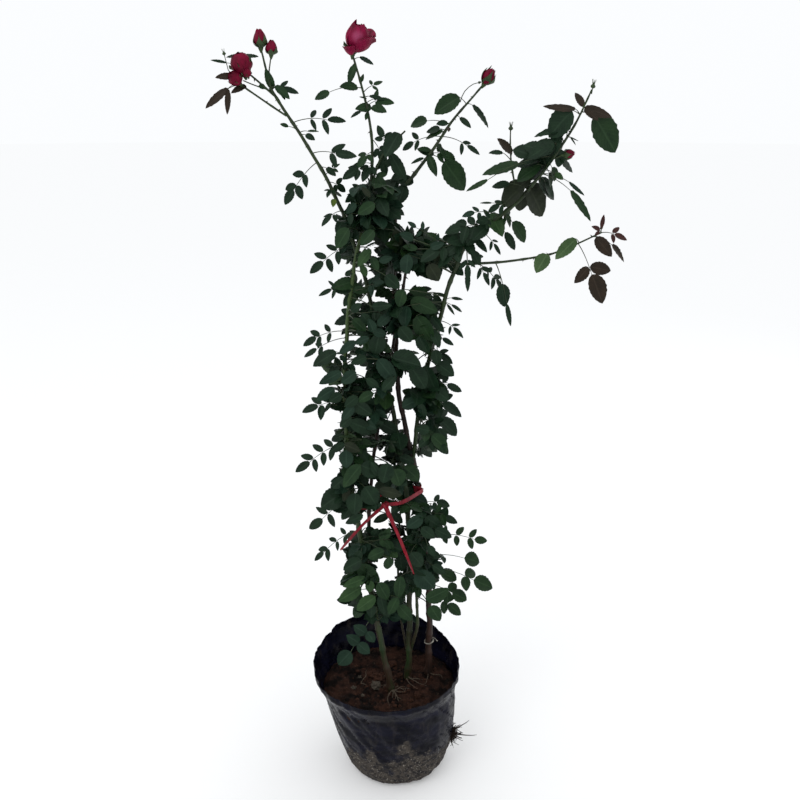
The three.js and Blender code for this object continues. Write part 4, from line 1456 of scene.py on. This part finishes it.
# --- Blooms and buds ----------------------------------------------------------------------
# Double crimson flowers and buds: rings of cupped petals, each tucked under the next, stand on
# a green hip with five sepals. The top bloom is globular and has begun to open on one side.

DARK_RED, RED = (0.062, 0.0012, 0.0090), (0.185, 0.0030, 0.0270)
TOP_DARK_RED, TOP_RED = (0.085, 0.0014, 0.0140), (0.240, 0.0040, 0.0440)
# Painted highlight: a paler purple-pink sheen painted into the top bloom's colour round a spot
# on its front-left petals, fading out by 13 mm from it.
PAINTED_SHEEN_RED = (0.300, 0.0480, 0.1150)
PAINTED_SHEEN_SPOT = (-64, -12, 1471)  # mm
PAINTED_SHEEN_REACH = (13 * MM, 3 * MM, 0, 1)
PETAL_THICKNESS = 0.45 * MM
PETAL_ROWS, PETAL_COLUMNS = 10, 9


def petal(base, axis, turn, reach, belly, close, lip, spread, taper, point, dice):
    """A curved sheet that wraps round axis. belly is its widest distance from the axis, close
    how far it shuts at the top, lip how far its edge rolls out, spread half its angle, taper
    how far it narrows to the top and point how far its middle stands up."""
    outward = Matrix.Rotation(turn, 3, axis) @ axis.orthogonal().normalized()
    sideways = axis.cross(outward)
    wave = dice.uniform(0, math.tau)
    points, faces = [], []
    for row in range(PETAL_ROWS):
        along = row / (PETAL_ROWS - 1)
        radius = belly * math.sin(math.pi * (0.035 + close * along)) ** 0.62
        radius += lip * belly * max(0.0, (along - 0.62) / 0.38) ** 2
        half_angle = spread * (1 - taper * along**1.4)
        for column in range(PETAL_COLUMNS):
            side = 2 * column / (PETAL_COLUMNS - 1) - 1
            ruffle = 0.025 * reach * along**2 * math.sin(4 * side + wave)
            level = 1 - 0.07 * side**2 - 0.16 * side**4
            top = reach * along * (level + point * along**3 * (1 - abs(side)))
            bend = side * half_angle
            spoke = outward * math.cos(bend) + sideways * math.sin(bend)
            tuck = 1 + 0.055 * side
            points.append(base + axis * (top + ruffle) + spoke * (radius * tuck + ruffle))
    for row in range(PETAL_ROWS - 1):
        for column in range(PETAL_COLUMNS - 1):
            near = row * PETAL_COLUMNS + column
            far = near + PETAL_COLUMNS
            faces.append((near, near + 1, far + 1, far))
    return points, faces


def turn_to(axis, way):
    """The turn at which a petal about axis faces way."""
    zero = axis.orthogonal().normalized()
    return math.atan2(axis.dot(zero.cross(way)), zero.dot(way))


BLOOM_RINGS = (  # petals, belly share, close, lip, height share
    (3, 0.34, 0.93, 0.00, 0.88), (3, 0.52, 0.92, 0.00, 0.91), (4, 0.70, 0.90, 0.00, 0.94),
    (5, 0.86, 0.88, 0.02, 0.97), (5, 0.97, 0.82, 0.04, 0.88),
)
BUD_RINGS = ((3, 0.45, 0.93, 0, 1.0), (4, 0.72, 0.92, 0, 0.98), (4, 0.94, 0.90, 0.01, 0.93))
sepals = []
HIP_STEPS, HIP_RADII = (-7, -5, -3, 0, 3), (0.12, 0.20, 0.29, 0.40, 0.30)
SEPAL_TAPER, SEPAL_POINT = 0.96, 0.15


def flower_head(base, axis, height, half, rings, dice):
    """The petals of one bloom or bud, ring by ring from the heart outwards."""
    sheets = []
    for index, (count, belly, close, lip, share) in enumerate(rings):
        for number in range(count):
            turn = math.tau * number / count + index * 0.83 + dice.uniform(-0.15, 0.15)
            reach = height * share * dice.uniform(0.93, 1.0)
            rolled = lip * dice.uniform(0.4, 1.6)
            widest, spread = half * belly, 2.3 / math.sqrt(count)
            sheets.append(
                petal(base, axis, turn, reach, widest, close, rolled, spread, 0.12, 0, dice)
            )
    return sheets


def add_calyx(base, axis, height, half, reach, close, lip, dice, spread=0.62):
    """The hip under a head and its five sepals; reach is their length as a share of height."""
    hip = [base + axis * step * 0.1 * half for step in HIP_STEPS]
    sepals.append(tube(hip, [share * half for share in HIP_RADII], 10))
    for number in range(5):
        turn = math.tau * number / 5 + dice.uniform(-0.2, 0.2)
        length = height * reach * dice.uniform(0.85, 1.15)
        sepals.append(
            petal(base, axis, turn, length, half * 1.05, close, lip, spread, SEPAL_TAPER,
                  SEPAL_POINT, dice)
        )


def petal_finish(name, dark, light, painted_sheen_spot=None):
    """Velvety red in two tones that run up the petal. The last argument, when given, is the
    middle of a painted highlight: a paler purple-pink sheen painted into the colour where the
    petals bulge to the light."""
    finish, tree, shader = new_finish(name, 0.5, 0.09)
    flush = mottle(tree, 75, (1, 1, 0.45), 0.34, 0.68)
    red = blend_colours(tree, flush.outputs["Mask"], dark, light)
    if painted_sheen_spot:
        # Painted highlight: the colour turns paler near the spot and fades back with distance
        # from it.
        place = tree.nodes.new("ShaderNodeTexCoord")
        away = tree.nodes.new("ShaderNodeVectorMath")
        away.operation = "DISTANCE"
        away.inputs[1].default_value = painted_sheen_spot
        tree.links.new(place.outputs["Object"], away.inputs[0])
        painted_sheen_mask = rescale(tree, away.outputs["Value"], PAINTED_SHEEN_REACH, "SMOOTHSTEP")
        red = blend_colours(tree, painted_sheen_mask, red, PAINTED_SHEEN_RED)
    tree.links.new(red, shader.inputs["Base Color"])
    velvet = mottle(tree, 420, (1, 1, 0.4))
    add_bump(tree, shader, velvet.outputs["Height"], 0.2, 0.4 * MM)
    return finish


def finish_petals(name, sheets, finish, *nodes):
    """Joins the petals, gives them their thickness and stands them for their CAD heads."""
    piece = join_arrays(name, sheets)
    pick(piece)
    thick = piece.modifiers.new("petal", "SOLIDIFY")
    thick.thickness = PETAL_THICKNESS
    bpy.ops.object.modifier_apply(modifier=thick.name)
    smooth_piece(piece, 70)
    finish_piece(piece, name, finish, "petals", *nodes)


dark_petal = petal_finish("dark crimson petal", DARK_RED, RED)
top_petal = petal_finish(
    "crimson petal", TOP_DARK_RED, TOP_RED, Vector(PAINTED_SHEEN_SPOT) * MM
)

# The top bloom leans right from its stem, where three petals have opened. One petal stands up
# to a point at the left, and one has opened in front of the stem.
TOP_AXIS, TOP_SHIFT = (0.16, -0.16, 0.95), (6, -2, 4.5)  # the shift in mm from the stem's end
TOP_HALF, TOP_SHARE = 21.5 * MM, 0.87
POINTED_TURN = 2.6
RIGHT_TURNS = (  # turn, lip, height share
    (0.0, 0.30, 0.66), (0.75, 0.50, 0.78), (-0.8, 0.45, 0.60),
)
HANGING_AXIS, HANGING_WAY, HANGING_SHIFT = (-0.14, -0.40, 0.80), (-0.3, -1, 0), (-2, -7, 0)
dice = random.Random(5)
stem_end = Vector(spines["stem_top"][0][-1])
top_axis = Vector(TOP_AXIS).normalized()
_, top_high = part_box("bloom_top")
top_height = (top_high.z - stem_end.z) * TOP_SHARE
heart = stem_end + Vector(TOP_SHIFT) * MM
sheets = flower_head(heart, top_axis, top_height, TOP_HALF, BLOOM_RINGS, dice)
right_turn = turn_to(top_axis, Vector((1, 0, 0)))
sheets.append(
    petal(heart, top_axis, right_turn + POINTED_TURN, top_height * 0.96, TOP_HALF * 0.9,
          0.88, 0, 0.75, 0.3, 0.13, dice)
)
for turn, lip, share in RIGHT_TURNS:
    sheets.append(
        petal(heart, top_axis, right_turn + turn, top_height * share, TOP_HALF * 1.04,
              0.62, lip, 0.8, 0.1, 0, dice)
    )
hanging = Vector(HANGING_AXIS).normalized()
front_foot = stem_end + Vector(HANGING_SHIFT) * MM
sheets.append(
    petal(front_foot, hanging, turn_to(hanging, Vector(HANGING_WAY)), 20 * MM, 11 * MM,
          0.5, 0.2, 1.3, -0.1, 0, dice)
)
finish_petals("bloom_top_petals", sheets, top_petal, "bloom_top")
add_calyx(stem_end, top_axis, 20 * MM, 11 * MM, 0.9, 0.30, 0.6, dice)

# The left bloom, with the two smaller ones that hang below it on the same spray and two leaves
# that spread over it like wings.
LEFT_HEADS = (  # base, axis, height, half width in mm, rings
    ((-254, -41, 1411), (-0.24, -0.22, 0.95), 36, 18.5, BLOOM_RINGS),
    ((-262, -43, 1395), (-0.40, -0.45, 0.55), 27, 12, BLOOM_RINGS),
    ((-247, -46, 1406), (-0.10, -0.40, 0.55), 17, 8, BUD_RINGS),
)
HANGING_STALK = ((-214, -28, 1385), (-256, -45, 1400))  # mm
sheets = []
for base, axis, height, half, rings in LEFT_HEADS:
    base, axis = Vector(base) * MM, Vector(axis).normalized()
    sheets.extend(flower_head(base, axis, height * MM, half * MM, rings, dice))
    add_calyx(base, axis, height * MM, half * 0.8 * MM, 0.55, 0.5, 0.3, dice)
finish_petals("bloom_left_petals", sheets, dark_petal, "bloom_left")
stalk_foot, stalk_end = (Vector(end) * MM for end in HANGING_STALK)
add_stalk(arc(stalk_foot, stalk_end, UP * -2 * MM), 1.2 * MM, 1.0 * MM)
for way in (-1, 1):
    wing, run = Vector((-256 + 2 * way, -42, 1440)) * MM, Vector((way, 0, -0.05))
    add_leaflet(wing, run, Vector((0, -0.7, 1)), 26 * MM, 0.42, "deep", dice)

BUDS = (  # piece, base, axis, height, half width, sepal reach, foot of its stalk, CAD head
    ("bud_left_petals", (-226, -31, 1452), (-0.05, -0.1, 1), 31, 11.5, 0.56, None, "bud_left"),
    ("bud_low_petals", (-209, -31, 1441), (0.1, -0.15, 1), 25, 10.2, 0.5, (-214, -31, 1413),
     None),
    ("bud_centre_petals", (158, 54, 1397), (0.5, -0.35, 0.85), 32, 12.5, 0.86, None,
     "bud_centre"),
    ("bud_hidden_petals", (267, -168, 1285), (0.95, -0.1, 0.14), 19, 8.0, 0.62,
     (252, -170, 1279), None),
)
for name, base, axis, height, half, reach, stalk_foot, node in BUDS:
    base, axis = Vector(base) * MM, Vector(axis).normalized()
    sheets = flower_head(base, axis, height * MM, half * MM, BUD_RINGS, dice)
    finish_petals(name, sheets, dark_petal, *([node] if node else []))
    add_calyx(base, axis, height * MM, half * MM, reach, 0.72, 0.0, dice, 0.95)
    if stalk_foot:
        add_stalk(arc(Vector(stalk_foot) * MM, base, Vector((0, 0, 0))), 1.3 * MM, 1.1 * MM)

# Green buds no bigger than a pea, each on the end of its stalk with its sepals in a tuft.
PEA_BUDS = (  # stalk points and size in mm; the last point is under the bud
    (((298, -209, 1376), (299, -210, 1384)), 4.0),
    (((189, -112, 1316), (189, -112, 1321)), 4.2),
    (((-264, -43, 1397), (-281, -40, 1417), (-286, -40, 1440)), 3.2),
    (((116, 55, 1366), (119, 55, 1376), (124, 56, 1385), (131, 55, 1392), (139, 53, 1397),
      (147, 52, 1399)), 2.6),
)
PEA_RADII = (0.3, 0.85, 1, 0.8, 0.45, 0.12)  # shares of the size
for points, size in PEA_BUDS:
    points = [Vector(p) * MM for p in points]
    add_stalk(points, 0.9 * MM, 0.7 * MM)
    axis = (points[-1] - points[-2]).normalized()
    body = [points[-1] + axis * step * size * 0.4 * MM for step in range(len(PEA_RADII))]
    sepals.append(tube(body, [share * size * MM for share in PEA_RADII], 10))
    base = points[-1] + axis * size * 1.2 * MM
    sepal_reach, sepal_half = size * 2.2 * MM, size * 0.6 * MM
    for number in range(5):
        turn = math.tau * number / 5
        sepals.append(
            petal(base, axis, turn, sepal_reach, sepal_half, 0.7, 0.5, 0.5, 0.95, 0, dice)
        )


# --- Leaf pieces --------------------------------------------------------------------------
# The leaflets of one tint make one piece, and all the stalks another. A leaf is matt above
# and paler below; the blue tint paints the bluish-grey sheen of reflected sky into the leaf
# colour.

LEAF_COLOURS = {  # darker tone, lighter tone of the upper side
    "deep": ((0.0036, 0.0135, 0.0058), (0.0078, 0.0235, 0.0098)),
    # Painted reflection: the blue tint's bluish grey stands in for sky reflected on the leaves.
    "blue": ((0.0055, 0.0190, 0.0105), (0.0108, 0.0295, 0.0165)),
    "mid": ((0.0062, 0.0215, 0.0068), (0.0128, 0.0350, 0.0108)),
    "bright": ((0.0130, 0.0370, 0.0105), (0.0240, 0.0560, 0.0170)),
    "pale": ((0.0340, 0.0700, 0.0240), (0.0560, 0.1000, 0.0380)),
    "olive": ((0.0080, 0.0125, 0.0058), (0.0150, 0.0215, 0.0095)),
    "bronze": ((0.0150, 0.0110, 0.0065), (0.0255, 0.0165, 0.0098)),
    "red": ((0.0300, 0.0090, 0.0080), (0.0460, 0.0170, 0.0130)),
    "lime": ((0.0500, 0.0850, 0.0100), (0.0850, 0.1250, 0.0200)),
}
RIB_LEVELS = (0.0, 0.13, 0.55, 0.0)  # from and to share of the half width, strength there
VEIN_SLANT, VEIN_SPACING = -0.32, 0.055
VEIN_LEVELS = (0.0, 0.012, 0.28, 0.0)


def leaf_finish(tint):
    """Two tones in patches, paler rib and veins from the leaf's own map, a paler underside."""
    dark, light = LEAF_COLOURS[tint]
    finish, tree, shader = new_finish("leaf " + tint, 0.5, 0.13)
    patches = mottle(tree, 55, low=0.35, high=0.65)
    toned = blend_colours(tree, patches.outputs["Mask"], dark, light)
    blade = tree.nodes.new("ShaderNodeUVMap")
    blade.uv_map = "blade"
    split = tree.nodes.new("ShaderNodeSeparateXYZ")
    tree.links.new(blade.outputs["UV"], split.inputs[0])
    rib = rescale(tree, split.outputs["X"], RIB_LEVELS)
    slant = calculate(
        tree, "MULTIPLY_ADD", split.outputs["X"], VEIN_SLANT, split.outputs["Y"]
    )
    vein = rescale(tree, calculate(tree, "PINGPONG", slant, VEIN_SPACING), VEIN_LEVELS)
    ribbed = calculate(tree, "MAXIMUM", rib, vein)
    rib_colour = tuple(1.5 * tone + 0.010 for tone in light)
    toned = blend_colours(tree, ribbed, toned, rib_colour)
    below = tuple(0.8 * tone + 0.012 for tone in light)
    side = tree.nodes.new("ShaderNodeNewGeometry")
    both = blend_colours(tree, side.outputs["Backfacing"], toned, below)
    tree.links.new(both, shader.inputs["Base Color"])
    add_bump(tree, shader, ribbed, 0.35, 0.5 * MM)
    return finish


BRONZE_MASSES = (
    "leaves_left_tip", "leaves_right_tip", "leaves_right_high", "leaves_low_tip",
    "leaves_low_drop",
)
shares = {tint: [] for tint in TINTS}
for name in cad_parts:
    if name.startswith(("leaves_", "spray_")):
        shares["bronze" if name in BRONZE_MASSES else "deep"].append(name)

for tint in TINTS:
    patterns = leaflets[tint]
    points = np.concatenate(patterns)
    starts = np.arange(len(patterns)) * len(PATTERN)
    faces = (PATTERN_FACES[None] + starts[:, None, None]).reshape(-1, 4)
    mesh = bpy.data.meshes.new("leaves " + tint)
    mesh.from_pydata(points.tolist(), [], faces.tolist())
    blade_map = mesh.uv_layers.new(name="blade")
    corners = np.zeros(len(mesh.loops), dtype=int)
    mesh.loops.foreach_get("vertex_index", corners)
    blade_map.data.foreach_set("uv", BLADE_MAP[corners % len(PATTERN)].ravel())
    piece = bpy.data.objects.new("leaves " + tint, mesh)
    bpy.context.scene.collection.objects.link(piece)
    pick(piece)
    bpy.ops.object.mode_set(mode="EDIT")
    bpy.ops.mesh.select_all(action="SELECT")
    bpy.ops.mesh.remove_doubles(threshold=1e-7)
    bpy.ops.object.mode_set(mode="OBJECT")
    bpy.ops.object.shade_smooth()
    slot = "bronze_foliage" if tint in ("bronze", "red") else "foliage"
    finish_piece(piece, "leaves_in_" + tint, leaf_finish(tint), slot, *shares[tint])

piece = join_arrays("leaf_stalks", stalks)
smooth_piece(piece, 80)
stalk_finish = bark_finish(
    "leaf stalk", (0.010, 0.020, 0.007), (0.028, 0.042, 0.014), (0.045, 0.030, 0.018)
)
finish_piece(piece, "leaf_stalks", stalk_finish, "foliage")

piece = join_arrays("sepals", sepals)
smooth_piece(piece, 70)
sepal_finish = bark_finish(
    "sepal", (0.0130, 0.0300, 0.0085), (0.0340, 0.0640, 0.0180), (0.060, 0.034, 0.022)
)
finish_piece(piece, "sepals", sepal_finish, "foliage")


# --- Red tape -----------------------------------------------------------------------------
# A strip of glossy red tape goes once round the canes at knee height, is knotted in front
# and hangs in two long ends.

BAND = (  # x, y in mm of the points that the tape passes on its way round the canes
    (-89, -30), (-84, -18), (-30, 26), (12, 43), (46, 41), (54, 32), (44, 12), (12, -40),
    (-22, -58), (-60, -50), (-85, -36),
)
BAND_LEVEL, BAND_SLOPE, BAND_DIP = 626, 0.12, 0.15  # mm, rise with x, fall towards the back
FRONT_OF_BAND = 8  # the point of the band where the knot is
KNOT = (-22, -60, 628)
CUFF_LEVEL, CUFF_WIDTH = 622, 15  # mm: a wider turn goes round the brown cane alone
CUFF_HALF, CUFF_SHIFT, CUFF_WAVE = (8.5, 6.8), 2.5, 1.5
ENDS = (((-107, -88, 546), 7.5), ((34, -96, 499), 9.5))  # tip and width in mm
BAND_WIDTH, KNOT_WIDTH = 8, 6
TAPE_REDS = ((0.12, 0.003, 0.009), (0.26, 0.009, 0.022))


def strip(points, wide, thick, twist, side_on=Vector((0, -1, 0.2))):
    """A flat strip along points that turns by twist over its length, closed at both ends. It
    lies square to side_on, or stands upright where side_on is None."""
    rings, faces = [], []
    count = len(points)
    for index, point in enumerate(points):
        along = (points[min(index + 1, count - 1)] - points[max(index - 1, 0)]).normalized()
        flat = along.cross(side_on).normalized() if side_on else UP
        turn = Matrix.Rotation(twist * index / count, 3, along)
        flat = turn @ flat
        normal = along.cross(flat)
        pinch = 0.86 + 0.14 * math.sin(9 * index / count + 1)
        for out, up in ((-1, -1), (0, -1.6), (1, -1), (1, 1), (0, 0.3), (-1, 1)):
            rings.append(point + flat * out * wide * pinch / 2 + normal * up * thick / 2)
    for index in range(count - 1):
        for side in range(6):
            near, far = index * 6 + side, index * 6 + (side + 1) % 6
            faces.append((near, far, far + 6, near + 6))
    faces.append(tuple(reversed(range(6))))
    faces.append(tuple(range((count - 1) * 6, count * 6)))
    return rings, faces


def through(points, steps=6):
    """A smooth line through points."""
    line = []
    padded = [points[0], *points, points[-1]]
    for a, b, c, d in zip(padded, padded[1:], padded[2:], padded[3:]):
        for step in range(steps):
            t = step / steps
            line.append(
                0.5 * (2 * b + (c - a) * t + (2 * a - 5 * b + 4 * c - d) * t * t
                       + (3 * b - a - 3 * c + d) * t**3)
            )
    line.append(points[-1])
    return line


knot = Vector(KNOT) * MM
band_points = [
    Vector((x, y, BAND_LEVEL + BAND_SLOPE * x - BAND_DIP * (y - KNOT[1]))) * MM for x, y in BAND
]
band = through([knot, *band_points[FRONT_OF_BAND + 1:], *band_points[:FRONT_OF_BAND], knot])
tape = [strip(band, BAND_WIDTH * MM, 1.1 * MM, 0.3, None)]
cane_there = limb_point("cane_brown", CUFF_LEVEL)
cuff = []
for angle in np.linspace(0, math.tau, 17):
    x, y = CUFF_HALF[0] * math.cos(angle) - CUFF_SHIFT, CUFF_HALF[1] * math.sin(angle)
    cuff.append(cane_there + Vector((x, y, CUFF_WAVE * math.sin(2 * angle))) * MM)
tape.append(strip(cuff, CUFF_WIDTH * MM, 1.4 * MM, 0.0, None))
for end, width in ENDS:
    end = Vector(end) * MM
    middle = (knot + end) / 2 + Vector((0, -5, 7)) * MM
    tape.append(strip(through([knot, middle, end], 12), width * MM, 1.2 * MM, 1.4))
turns = [
    knot + Vector((5.5 * math.cos(a), 5 * math.sin(a) - 1, 4 * math.sin(2 * a))) * MM
    for a in np.linspace(0, math.tau, 14)
]
tape.append(strip(turns, KNOT_WIDTH * MM, 2 * MM, 3.0))
piece = join_arrays("red_tape", tape)
smooth_piece(piece, 40)
tape_red = patchy_finish("red tape", 0.38, 0.16, *TAPE_REDS, (90, (1, 1, 0.4), 0.4, 0.66), 0.4)
finish_piece(piece, "red_tape", tape_red, "tie_tape", "tie")

# A twist of pale plastic twine is left on the brown cane, a hand's breadth above the soil.
TWINE_LEVEL, TWINE_RADIUS, TWINE_TURNS = 271, 9.5, 2.2
TWINE_END = ((8, -5, 3), (15, -9, -3))  # mm from where the twine leaves the cane
TWINE_TONES = ((0.36, 0.35, 0.31), (0.12, 0.10, 0.08))
twine_middle = limb_point("cane_brown", TWINE_LEVEL)
turns = [
    twine_middle + Vector(
        (TWINE_RADIUS * math.cos(a), TWINE_RADIUS * math.sin(a), 2.5 * math.sin(a + 1))
    ) * MM
    for a in np.linspace(0, TWINE_TURNS * math.tau, 34)
]
loose = through([turns[-1], *(turns[-1] + Vector(step) * MM for step in TWINE_END)])
piece = join_arrays(
    "pale_twine",
    [strip(turns, 3 * MM, 0.8 * MM, 2, None), strip(loose, 4 * MM, 0.8 * MM, 2)],
)
smooth_piece(piece, 40)
twine = patchy_finish("pale twine", 0.5, 0.2, *TWINE_TONES, (160,))
finish_piece(piece, "pale_twine", twine, "tie_tape")
